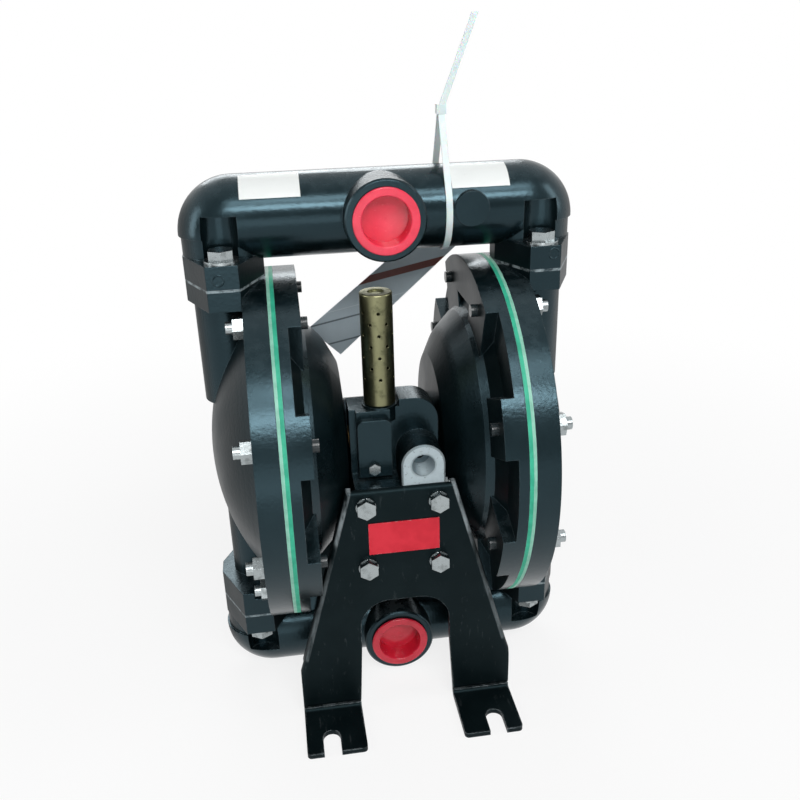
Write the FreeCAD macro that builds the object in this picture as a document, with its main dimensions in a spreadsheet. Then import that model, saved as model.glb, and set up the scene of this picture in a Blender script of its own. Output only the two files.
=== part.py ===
import FreeCAD, Part
import math
import os
import re

import Sketcher
from FreeCAD import Vector

# Air-operated double diaphragm pump, in millimetres.
# X runs along the diaphragm rod, the ports face -Y, Z is up and the feet stand on Z = 0.
# Every body is drawn round the rod's centre and lifted to the rod's height by its placement.

SIZES = {
    # overall layout
    "floor_gap": 2,
    "port_rise": 50,
    "elbow_x": 136.5,
    "elbow_turn": 12,
    # manifolds
    "pipe_r": 36,
    "pipe_bore_r": 28,
    "bore_step": 5,
    "leg_bore_r": 18.5,
    "boss_r": 34.5,
    "boss_y": 52,
    "edge_bevel": 1.5,
    "port_bore_r": 22.65,
    "pad_thick": 21,
    "pad_half_x": 34,
    "pad_half_y": 52,
    "pad_front_half": 13.5,
    "pad_waist_half": 9,
    "pad_bolt_y": 37,
    "pocket_r": 15.5,
    "badge_x": 75.6,
    "badge_r": 15,
    "badge_lift": 1.2,
    "badge_z_off": 3,
    # fluid caps
    "rim_r": 163,
    "fluid_flange_t": 20.5,
    "fluid_flange_w": 41,
    "dome_rise": 42.5,
    "seal_w": 39,
    "cap_wall": 6.5,
    "root_round": 5,
    "neck_r": 25.5,
    "neck_shift": 4,
    "neck_low_r": 22,
    "neck_end_z": 50,
    "cap_pad_top": 18,
    "cap_pad_low": 26,
    "seat_r": 22,
    "seat_depth": 8,
    # air caps
    "air_face_x": 95.9,
    "air_flange_t": 8.9,
    "air_flange_w": 32,
    "drum_root_x": 79,
    "drum_root_w": 47,
    "drum_x": 72,
    "drum_w": 52,
    "drum_nose_x": 55,
    "drum_nose_w": 69.5,
    "drum_end_x": 43.5,
    "drum_end_w": 92,
    "core_half": 40,
    "core_r": 34,
    "air_mouth_r": 19,
    "air_wall": 7,
    "nose_round": 30,
    "air_screw_r": 3,
    "air_screw_ring": 27,
    "air_screw_head_r": 5,
    "air_screw_head": 3.4,
    "air_screw_key": 2,
    "air_screw_len": 9,
    "lobe_out": 11,
    "lobe_half": 25,
    "bridge_w": 36,
    # bolts round the caps
    "ring_inset": 20,
    "ring_phase": 22.5,
    "ring_count": 8,
    "ring_bolt_r": 5.5,
    "ring_bolt_af": 18,
    "ring_nut": 9.5,
    "ring_bolt_out": 6,
    "ring_spot_r": 12.3,
    "hole_gap": 0.6,
    # manifold bolts
    "joint_bolt_r": 6,
    "joint_bolt_af": 20,
    "joint_head": 8,
    "joint_washer_r": 14.6,
    "joint_washer_t": 2.4,
    "joint_grip": 37,
    "thread_gap": 0.03,
    # centre body
    "body_front_y": 60,
    "body_top_z": 57,
    "body_back_y": 31,
    "body_step_x": 5,
    "shoulder_r": 22,
    "block_y": 94,
    "block_top_z": 13,
    "block_low_z": 102,
    "block_arch_y": 60,
    "block_arch_z": 68,
    "lug_x": 20.5,
    "lug_z": 7,
    "lug_r": 19.5,
    "inlet_r": 9.9,
    "inlet_depth": 24,
    "inlet_chamfer": 1,
    "column_left": 34,
    "column_right": 4,
    "column_y": 66,
    "column_top_z": 50,
    "column_low_z": 11,
    "cover_thick": 7,
    "cover_top_z": 44,
    "cover_round": 6,
    "cover_screw_x": 20.5,
    "cover_screw_z": 2,
    "cover_screw_r": 3,
    "cover_screw_af": 10,
    "cover_screw_head": 4.5,
    "shaft_bore_r": 16,
    "pin_y": 24,
    "pin_z": -8,
    # muffler
    "muffler_x": 11,
    "muffler_y": 50,
    "muffler_r": 14.2,
    "muffler_wall": 1.6,
    "muffler_roll": 1.5,
    "boss_rise": 2,
    "muffler_len": 102,
    "muffler_stub_r": 12,
    "muffler_stub": 13,
    "muffler_socket_r": 16,
    "muffler_socket": 38,
    "muffler_hole_r": 1.4,
    "muffler_hole_pitch": 10,
    "muffler_hole_first": 26,
    "muffler_hole_count": 6,
    # brackets
    "plate_t": 5,
    "plate_top_z": 11,
    "plate_top_half": 49,
    "knee_drop": 27,
    "plate_knee_half": 98,
    "leg_out": 101,
    "leg_in": 45.5,
    "knee_step": 10,
    "arch_half": 42,
    "arch_foot_rise": 12,
    "arch_top_z": 127,
    "arch_r": 28,
    "flange_depth": 10,
    "bend_r": 4,
    "foot_len": 56,
    "foot_round": 3,
    "slot_x": 77.5,
    "slot_r": 8,
    "slot_y": 136,
    "bracket_bolt_x": 32.4,
    "bracket_bolt_z1": 25.2,
    "bracket_bolt_z2": 87.9,
    "bracket_bolt_r": 5,
    "bracket_bolt_af": 16,
    "bracket_head": 6.4,
    "bracket_shank": 24,
    "lock_washer_r": 9,
    "lock_washer_t": 2.4,
    # plugs in the ports
    "plug_rim_r": 28.1,
    "plug_rim_t": 3,
    "plug_fit": 0.35,
    "plug_wall": 1.6,
    "plug_round": 1.2,
    "plug_depth": 18,
    "plug_bulge": 4,
    "plug_gap": 0.3,
    # balls and seats
    "ball_r": 16,
    "seat_bore_r": 12.5,
    "seat_thick": 6,
    "ring_seal_bore_r": 17,
    "ball_gap": 0.35,
    # diaphragms, rod and washers
    "backup_t": 3.5,
    "diaphragm_t": 6.1,
    "washer_gap": 8,
    "diaphragm_hole_r": 8,
    "washer_r": 52,
    "washer_t": 9,
    "washer_edge": 3,
    "rod_r": 12,
    "rod_fit": 0.05,
    "rod_thread_depth": 26,
    "screw_head": 9,
    "bushing_len": 18,
    "seal_len": 6,
    "pin_r": 4,
    "pin_half": 66.5,
    # air valve
    "valve_axis_y": 45.5,
    "valve_axis_z": 18,
    "valve_bore_r": 11,
    "sleeve_bore_r": 8.05,
    "sleeve_half": 34,
    "spool_r": 8,
    "spool_groove_r": 5,
    "spool_half": 27.5,
    "spool_land": 8,
    "spool_groove": 11,
    "valve_port_r": 3.2,
    "valve_port_x": 12,
    "way_y": 22,
    "exhaust_wall": 3,
    "exhaust_port_x": 22,
    "pin_hole_gap": 0.6,
    "valve_cap_key": 10,
    "valve_key_deep": 4,
    # plate and labels
    "nameplate_w": 64,
    "nameplate_hgt": 32,
    "nameplate_x": 1,
    "nameplate_z": 59.3,
    "nameplate_t": 0.8,
    "label_t": 0.4,
    "label_low": 33,
    "label_high": 78,
    "label_left_x": 92.5,
    "label_right_x": 84.5,
    "label_w": 50,
    "ground_r": 3.4,
    "ground_out": 6,
    "ground_deep": 2.2,
    "ground_y": 82,
    "ground_z": 19,
    # cable tie and tag
    "tie_x": 56,
    "tie_w": 5.6,
    "tie_open": 63,
    "tie_t": 1.3,
    "tie_clear": 0.7,
    "tie_shift": 0.6,
    "tie_head": 8,
    "tie_tail_dx": 29,
    "tie_rise": 155,
    "tag_t": 0.8,
    "tag_gap": 0.15,
    "tag_lean": 14,
    "tag_turn": 42,
    "tag_w": 46,
    "tag_len": 190,
    "tag_taper": 0.5,
    "tag_end_x": 50,
    "tag_end_z": 158.5,
    "tag_neck_w": 16,
    "tag_neck_z": 50,
    "tag_band": 4,
    "tag_slot": 11,
}

# Sizes that follow from the ones above.
RELATIONS = {
    "joint_h": "rim_r",
    "port_h": "joint_h + port_rise",
    "axis_z": "floor_gap + pipe_r + port_h",
    "fluid_face_x": "air_face_x + diaphragm_t",
    "fluid_flange_x": "fluid_face_x + fluid_flange_t",
    "dome_x": "fluid_flange_x + dome_rise",
    "dome_root_r": "rim_r - fluid_flange_w",
    "chamber_r": "rim_r - seal_w",
    "air_flange_x": "air_face_x - air_flange_t",
    "air_flange_root_r": "rim_r - air_flange_w",
    "drum_root_r": "rim_r - drum_root_w",
    "drum_r": "rim_r - drum_w",
    "drum_nose_r": "rim_r - drum_nose_w",
    "drum_end_r": "rim_r - drum_end_w",
    "lobe_face_x": "air_flange_x - lobe_out",
    "ring_r": "rim_r - ring_inset",
    "ring_hole_r": "ring_bolt_r + hole_gap",
    "ring_spot_x": "fluid_flange_x + ring_nut + ring_bolt_out + 1",
    "joint_hole_r": "joint_bolt_r + hole_gap",
    "convolution_in_r": "washer_r + washer_gap",
    "convolution_r": "(chamber_r - convolution_in_r) * 0.75",
    "plug_skirt_r": "port_bore_r - plug_fit",
    "muffler_foot_z": "column_top_z + boss_rise",
    "bracket_front_y": "block_y + plate_t",
    "bracket_hole_r": "bracket_bolt_r + hole_gap",
    "plate_knee_z": "rim_r + knee_drop",
    "leg_knee_z": "plate_knee_z + knee_step",
    "arch_foot_z": "plate_knee_z - arch_foot_rise",
    "tie_top_z": "port_h + tie_rise",
}
NAMES = {*SIZES, *RELATIONS}

doc = FreeCAD.newDocument("diaphragm_pump")
sheet = doc.addObject("Spreadsheet::Sheet", "dims")
cells = list(SIZES.items()) + [(alias, "=" + formula) for alias, formula in RELATIONS.items()]
for line, (alias, content) in enumerate(cells, 1):
    sheet.set(f"A{line}", alias)
    sheet.set(f"B{line}", str(content))
    sheet.setAlias(f"B{line}", alias)
doc.recompute()

X = Vector(1, 0, 0)
Y = Vector(0, 1, 0)
Z = Vector(0, 0, 1)


# Helpers: expressions, sketches and features

def bound(text):
    """Turns plain size names in a formula into references to the sheet."""
    return re.sub(r"[a-z_][a-z_0-9]*", lambda m: "dims." + m[0] if m[0] in NAMES else m[0], str(text))


def number(text):
    return float(sheet.evalExpression(bound(text)))


def bind(thing, path, text):
    thing.setExpression(path, bound(text))


def new_body(node, lift="axis_z"):
    body = doc.addObject("PartDesign::Body", node)
    body.Label = node
    body.AllowCompound = True
    bind(body, "Placement.Base.z", lift)
    return body


def origin(body, role):
    return next(f for f in body.Origin.OriginFeatures if f.Role == role)


def sketch(body, name, role, offset="0", up="0", across="0"):
    """A sketch on one of the body's own planes, moved by the given offsets."""
    made = body.newObject("Sketcher::SketchObject", name)
    made.AttachmentSupport = [(origin(body, role), "")]
    made.MapMode = "FlatFace"
    bind(made, "AttachmentOffset.Base.z", offset)
    bind(made, "AttachmentOffset.Base.y", up)
    bind(made, "AttachmentOffset.Base.x", across)
    return made


def fix(made, kind, geo, pos, text):
    """Ties one coordinate of a sketch point to a formula."""
    if str(text) == "0":
        made.addConstraint(Sketcher.Constraint("PointOnObject", geo, pos, -2 if kind == "DistanceX" else -1))
        return
    index = made.addConstraint(Sketcher.Constraint(kind, -1, 1, geo, pos, number(text)))
    bind(made, f"Constraints[{index}]", text)


def circle(made, u, v, r):
    geo = made.addGeometry(Part.Circle(Vector(number(u), number(v), 0), Z, number(r)))
    fix(made, "DistanceX", geo, 3, u)
    fix(made, "DistanceY", geo, 3, v)
    index = made.addConstraint(Sketcher.Constraint("Radius", geo, number(r)))
    bind(made, f"Constraints[{index}]", r)


def outline(made, points):
    """A closed outline. A third value on a point makes the next run an arc:
    its radius, positive when the arc turns left and negative when it turns right."""
    ends = []
    spots = [Vector(number(p[0]), number(p[1]), 0) for p in points]
    for k, point in enumerate(points):
        a, b = spots[k], spots[(k + 1) % len(spots)]
        if len(point) == 2:
            geo = made.addGeometry(Part.LineSegment(a, b))
            ends.append((geo, 1, 2))
            continue
        radius, turn = number(point[2]), point[3]
        half = (b - a) / 2
        side = Z.cross(half).normalize() * turn
        centre = a + half + side * math.sqrt(radius**2 - half.Length**2)
        first, last = (a, b) if turn > 0 else (b, a)
        start = math.atan2(first.y - centre.y, first.x - centre.x)
        stop = math.atan2(last.y - centre.y, last.x - centre.x)
        if stop < start:
            stop += 2 * math.pi
        geo = made.addGeometry(Part.ArcOfCircle(Part.Circle(centre, Z, radius), start, stop))
        ends.append((geo, 1, 2) if turn > 0 else (geo, 2, 1))
        if abs(radius - half.Length) < 1e-6:
            level = abs(half.y) < 1e-6
            fix(made, "DistanceY" if level else "DistanceX", geo, 3, point[1] if level else point[0])
            continue
        index = made.addConstraint(Sketcher.Constraint("Radius", geo, radius))
        bind(made, f"Constraints[{index}]", point[2])
    for k, (geo, head, tail) in enumerate(ends):
        after = ends[(k + 1) % len(ends)]
        made.addConstraint(Sketcher.Constraint("Coincident", geo, tail, after[0], after[1]))
    for (geo, head, tail), point in zip(ends, points):
        fix(made, "DistanceX", geo, head, point[0])
        fix(made, "DistanceY", geo, head, point[1])


def box_outline(made, u1, u2, v1, v2):
    outline(made, [(u1, v1), (u2, v1), (u2, v2), (u1, v2)])


def hexagon(made, u, v, flats):
    """A hexagon with two of its corners up and down."""
    corner = f"({flats}) / 2 / cos(30)"
    outline(made, [(f"{u} + {corner} * {math.cos(math.radians(a)):.6f}",
                    f"{v} + {corner} * {math.sin(math.radians(a)):.6f}") for a in range(30, 390, 60)])


def feature(body, kind, name, made, **sizes):
    made_feature = body.newObject("PartDesign::" + kind, name)
    made_feature.Profile = made
    for path, text in sizes.items():
        bind(made_feature, path, text)
    made.Visibility = False
    return made_feature


def pad(body, name, made, length, back=False):
    grown = feature(body, "Pad", name, made, Length=length)
    grown.Reversed = back
    return grown


def pocket(body, name, made, length, back=False):
    cut = feature(body, "Pocket", name, made, Length=length)
    cut.Reversed = back
    return cut


def turned(body, kind, name, made, axis="H_Axis", angle="360", back=False):
    spun = feature(body, kind, name, made)
    spun.ReferenceAxis = (made, [axis])
    bind(spun, "Angle", angle)
    spun.Reversed = back
    return spun


def around(body, name, originals, axis, count, angle="360"):
    ring = body.newObject("PartDesign::PolarPattern", name)
    ring.Originals = originals
    ring.Axis = (origin(body, axis), [""])
    bind(ring, "Angle", angle)
    bind(ring, "Occurrences", count)
    body.Tip = ring
    return ring


def mirror(body, name, originals, role, whole=False):
    twin = body.newObject("PartDesign::Mirrored", name)
    if whole:
        twin.TransformMode = "Whole shape"
    else:
        twin.Originals = originals
    twin.MirrorPlane = (origin(body, role), [""])
    body.Tip = twin
    return twin


def dress(body, kind, name, size, wanted):
    """Rounds or bevels the edges of the body's last feature that the test picks."""
    doc.recompute()
    last = body.Tip
    picked = [f"Edge{k}" for k, e in enumerate(last.Shape.Edges, 1) if not e.Degenerated and wanted(e)]
    if not picked:
        raise ValueError(f"{body.Label}: {name} finds no edge")
    made = body.newObject("PartDesign::" + kind, name)
    made.Base = (last, picked)
    bind(made, "Radius" if kind == "Fillet" else "Size", size)
    return made


def is_circle(edge, radius, normal, at=None):
    """True for a round edge of this radius about this axis, at this place along it."""
    curve = edge.Curve
    if not isinstance(curve, Part.Circle) or abs(curve.Radius - number(radius)) > 0.01:
        return False
    if abs(abs(curve.Axis.dot(normal)) - 1) > 1e-6:
        return False
    return at is None or abs(curve.Center.dot(normal) - number(at)) < 0.01


def opposite(node, source, normal):
    """The same casting on the other side of the rod's centre."""
    twin = doc.addObject("Part::Mirroring", node)
    twin.Label = node
    twin.Source = source
    twin.Normal = normal
    bind(twin, "Base.z", "axis_z")
    return twin


# Manifolds: one pipe with turned-down ends, two-bolt pads and a port facing the front

def manifold(node):
    body = new_body(node)
    reach = "elbow_x - elbow_turn"
    run = sketch(body, "pipe_round", "YZ_Plane", f"-({reach})")
    circle(run, "0", "port_h", "pipe_r")
    pad(body, "pipe", run, f"2 * ({reach})")
    bend = sketch(body, "bend_round", "YZ_Plane", reach, "port_h - elbow_turn")
    half = "sqrt(pipe_r * pipe_r - elbow_turn * elbow_turn)"
    outline(bend, [
        (half, "0", "pipe_r", 1), ("0", "elbow_turn + pipe_r", "pipe_r", 1), (f"-{half}", "0")])
    elbow = turned(body, "Revolution", "elbow", bend, "H_Axis", "90")
    drop = sketch(body, "leg_round", "XY_Plane", "joint_h")
    circle(drop, "elbow_x", "0", "pipe_r - 2")
    leg = pad(body, "leg", drop, "port_h - elbow_turn - joint_h")
    foot = sketch(body, "pad_outline", "XY_Plane", "joint_h")
    flange_outline(foot)
    flange = pad(body, "flange", foot, "pad_thick")
    room = sketch(body, "pocket_rounds", "XY_Plane", "joint_h + pad_thick")
    for side in ("", "-"):
        circle(room, "elbow_x", f"{side}pad_bolt_y", "pocket_r")
    heads = pocket(body, "head_pockets", room, "pipe_r", back=True)
    drill = sketch(body, "bolt_rounds", "XY_Plane", "joint_h")
    for side in ("", "-"):
        circle(drill, "elbow_x", f"{side}pad_bolt_y", "joint_hole_r")
    holes = pocket(body, "bolt_holes", drill, "pad_thick", back=True)
    mirror(body, "both_ends", [elbow, leg, flange, heads, holes], "YZ_Plane")
    port = sketch(body, "boss_round", "XZ_Plane")
    circle(port, "0", "port_h", "boss_r")
    pad(body, "port_boss", port, "boss_y")
    badge = sketch(body, "badge_round", "XZ_Plane", "pipe_r / 2")
    circle(badge, "badge_x", "port_h + badge_z_off", "badge_r")
    pad(body, "badge_pad", badge, "pipe_r / 2 + badge_lift")
    dress(body, "Chamfer", "boss_edge", "edge_bevel",
          lambda e: is_circle(e, "boss_r", Y, "-boss_y"))
    mouth = sketch(body, "port_bore_round", "XZ_Plane")
    circle(mouth, "0", "port_h", "port_bore_r")
    pocket(body, "port_bore", mouth, "boss_y", back=True)
    for name, half_run, radius in (
            ("pipe_bore", "(elbow_x - pocket_r - bore_step)", "pipe_bore_r"),
            ("end_bore", "elbow_x", "leg_bore_r")):
        way = sketch(body, name + "_round", "YZ_Plane", "-" + half_run)
        circle(way, "0", "port_h", radius)
        pocket(body, name, way, f"2 * {half_run}", back=True)
    down = sketch(body, "leg_bore_round", "XY_Plane", "joint_h")
    for side in ("", "-"):
        circle(down, f"{side}elbow_x", "0", "leg_bore_r")
    pocket(body, "leg_bores", down, "port_h - joint_h", back=True)
    return body


def flange_outline(made):
    """The diamond pad of a two-bolt joint, centred on the elbow."""
    outline(made, [
        ("elbow_x - pad_half_x", "-pad_waist_half"), ("elbow_x - pad_front_half", "-pad_half_y"),
        ("elbow_x + pad_front_half", "-pad_half_y"), ("elbow_x + pad_half_x", "-pad_waist_half"),
        ("elbow_x + pad_half_x", "pad_waist_half"), ("elbow_x + pad_front_half", "pad_half_y"),
        ("elbow_x - pad_front_half", "pad_half_y"), ("elbow_x - pad_half_x", "pad_waist_half")])


# Fluid caps: a domed cover with a neck and pad above and below

def fluid_cap(node):
    body = new_body(node)
    sagitta = "(dome_x - fluid_flange_x)"
    dome = f"(dome_root_r * dome_root_r + {sagitta} * {sagitta}) / (2 * {sagitta})"
    skin = sketch(body, "skin", "XZ_Plane")
    outline(skin, [
        ("fluid_face_x", "0"), ("dome_x", "0", dome, 1), ("fluid_flange_x", "dome_root_r"),
        ("fluid_flange_x", "rim_r"), ("fluid_face_x", "rim_r")])
    turned(body, "Revolution", "dome", skin)
    top = sketch(body, "top_pad_outline", "XY_Plane", "joint_h - cap_pad_top")
    flange_outline(top)
    pad(body, "top_pad", top, "cap_pad_top")
    low = sketch(body, "low_pad_outline", "XY_Plane", "-joint_h")
    flange_outline(low)
    pad(body, "low_pad", low, "cap_pad_low")
    up = sketch(body, "neck_round", "XY_Plane", "neck_end_z")
    circle(up, "elbow_x + neck_shift", "0", "neck_r")
    pad(body, "neck", up, "joint_h - cap_pad_top - neck_end_z")
    down = sketch(body, "low_neck_round", "XY_Plane", "-neck_end_z")
    circle(down, "elbow_x", "0", "neck_low_r")
    pad(body, "low_neck", down, "joint_h - cap_pad_low - neck_end_z", back=True)
    dress(body, "Fillet", "dome_root", "root_round",
          lambda e: is_circle(e, "dome_root_r", X, "fluid_flange_x"))
    hollow = sketch(body, "chamber_outline", "XZ_Plane")
    depth = "(dome_x - cap_wall - fluid_face_x)"
    inner = f"(chamber_r * chamber_r + {depth} * {depth}) / (2 * {depth})"
    outline(hollow, [
        ("fluid_face_x", "0"), ("dome_x - cap_wall", "0", inner, 1), ("fluid_face_x", "chamber_r")])
    turned(body, "Groove", "chamber", hollow)
    for name, plane_z, length, radius in (
            ("top_way", "neck_end_z - 20", "joint_h - neck_end_z + 20", "leg_bore_r"),
            ("low_way", "-joint_h", "joint_h - neck_end_z + 20", "leg_bore_r"),
            ("top_seat", "joint_h - seat_depth", "seat_depth", "seat_r + 0.1"),
            ("low_seat", "-joint_h", "seat_depth", "seat_r + 0.1")):
        cut = sketch(body, name + "_round", "XY_Plane", plane_z)
        circle(cut, "elbow_x", "0", radius)
        pocket(body, name, cut, length, back=True)
    for name, plane_z in (("top_threads", "joint_h - joint_grip + pad_thick"), ("low_threads", "-joint_h")):
        drill = sketch(body, name + "_rounds", "XY_Plane", plane_z)
        for side in ("", "-"):
            circle(drill, "elbow_x", f"{side}pad_bolt_y", "joint_bolt_r + thread_gap")
        pocket(body, name, drill, "joint_grip - pad_thick", back=True)
    spot = sketch(body, "spot_round", "YZ_Plane", "fluid_flange_x")
    circle(spot, "ring_r * cos(3 * ring_phase)", "-ring_r * sin(3 * ring_phase)", "ring_spot_r")
    relief = pocket(body, "nut_relief", spot, "ring_spot_x - fluid_flange_x", back=True)
    around(body, "nut_reliefs", [relief], "X_Axis", "ring_count")
    ring_holes(body, "fluid_face_x", "fluid_flange_x - fluid_face_x")
    return body


def ring_holes(body, start, length, phase="ring_phase", radius="ring_hole_r"):
    """The ring of holes for the cap studs."""
    drill = sketch(body, "ring_hole_round", "YZ_Plane", start)
    circle(drill, f"ring_r * cos({phase})", f"ring_r * sin({phase})", radius)
    hole = pocket(body, "ring_hole", drill, length, back=True)
    around(body, "ring_hole_set", [hole], "X_Axis", "ring_count")


# Air caps: a drum with a bolting rim, carried by the centre body

def air_cap(node):
    body = new_body(node)
    body.setExpression("Placement.Rotation.Angle", bound("ring_phase"))
    body.Placement.Rotation.Axis = X
    skin = sketch(body, "skin", "XZ_Plane")
    outline(skin, [
        ("air_face_x", "rim_r"), ("air_flange_x", "rim_r"), ("air_flange_x", "air_flange_root_r"),
        ("drum_root_x", "drum_root_r"), ("drum_x", "drum_r"), ("drum_nose_x", "drum_nose_r"),
        ("drum_end_x", "drum_end_r"), ("core_half", "core_r"), ("core_half", "air_mouth_r"),
        ("air_face_x", "air_mouth_r")])
    shell = turned(body, "Revolution", "shell", skin)
    lobe = sketch(body, "lobe_outline", "YZ_Plane", "lobe_face_x")
    tip = "sqrt(rim_r * rim_r - lobe_half * lobe_half)"
    outline(lobe, [
        ("drum_nose_r + 8", "-lobe_half"), (tip, "-lobe_half", "rim_r", 1), (tip, "lobe_half"),
        ("drum_nose_r + 8", "lobe_half")])
    one = pad(body, "lobe", lobe, "air_flange_x - lobe_face_x")
    around(body, "lobes", [one], "X_Axis", "ring_count")
    bridge = sketch(body, "bridge_outline", "YZ_Plane", "lobe_face_x")
    bind(bridge, "AttachmentOffset.Rotation.Angle", "3 * ring_phase")
    half = "(ring_r * sin(ring_phase))"
    top = f"sqrt(rim_r * rim_r - {half} * {half})"
    outline(bridge, [
        ("rim_r - bridge_w", "-" + half), (top, "-" + half, "rim_r", 1), (top, half),
        ("rim_r - bridge_w", half)])
    span = pad(body, "bridge", bridge, "air_flange_x - lobe_face_x")
    around(body, "bridges", [span], "X_Axis", "2")
    dress(body, "Fillet", "nose_round", "nose_round",
          lambda e: is_circle(e, "drum_nose_r", X, "drum_nose_x"))
    hollow = sketch(body, "chamber_outline", "XZ_Plane")
    outline(hollow, [
        ("core_half + air_wall", "air_mouth_r"), ("air_face_x", "air_mouth_r"), ("air_face_x", "chamber_r"),
        ("air_flange_x", "dome_root_r - 8"), ("drum_root_x + 2", "drum_root_r - 11"),
        ("drum_nose_x + air_wall", "drum_nose_r - 5"), ("drum_end_x + air_wall", "drum_end_r - 2"),
        ("core_half + air_wall", "core_r")])
    turned(body, "Groove", "chamber", hollow)
    fasten = sketch(body, "screw_round", "YZ_Plane", "core_half")
    circle(fasten, "air_screw_ring", "0", "air_screw_r + 0.3")
    through = pocket(body, "screw_hole", fasten, "air_wall", back=True)
    sink = sketch(body, "screw_seat_round", "YZ_Plane", "core_half + air_wall - air_screw_head")
    circle(sink, "air_screw_ring", "0", "air_screw_head_r + 0.3")
    seat = pocket(body, "screw_seat", sink, "air_screw_head", back=True)
    around(body, "screw_holes", [through, seat], "X_Axis", "ring_count / 2")
    passage = sketch(body, "pin_and_way_rounds", "YZ_Plane", "core_half")
    bind(passage, "AttachmentOffset.Rotation.Angle", "-ring_phase")
    circle(passage, "pin_y", "pin_z", "pin_r + pin_hole_gap")
    circle(passage, "-way_y", "valve_axis_z", "valve_port_r")
    pocket(body, "pin_and_way", passage, "air_wall", back=True)
    ring_holes(body, "lobe_face_x", "air_face_x - lobe_face_x", "0", "ring_bolt_r + thread_gap")
    return body


# Centre body: carries the rod, the air inlet, the exhaust and both brackets

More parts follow.
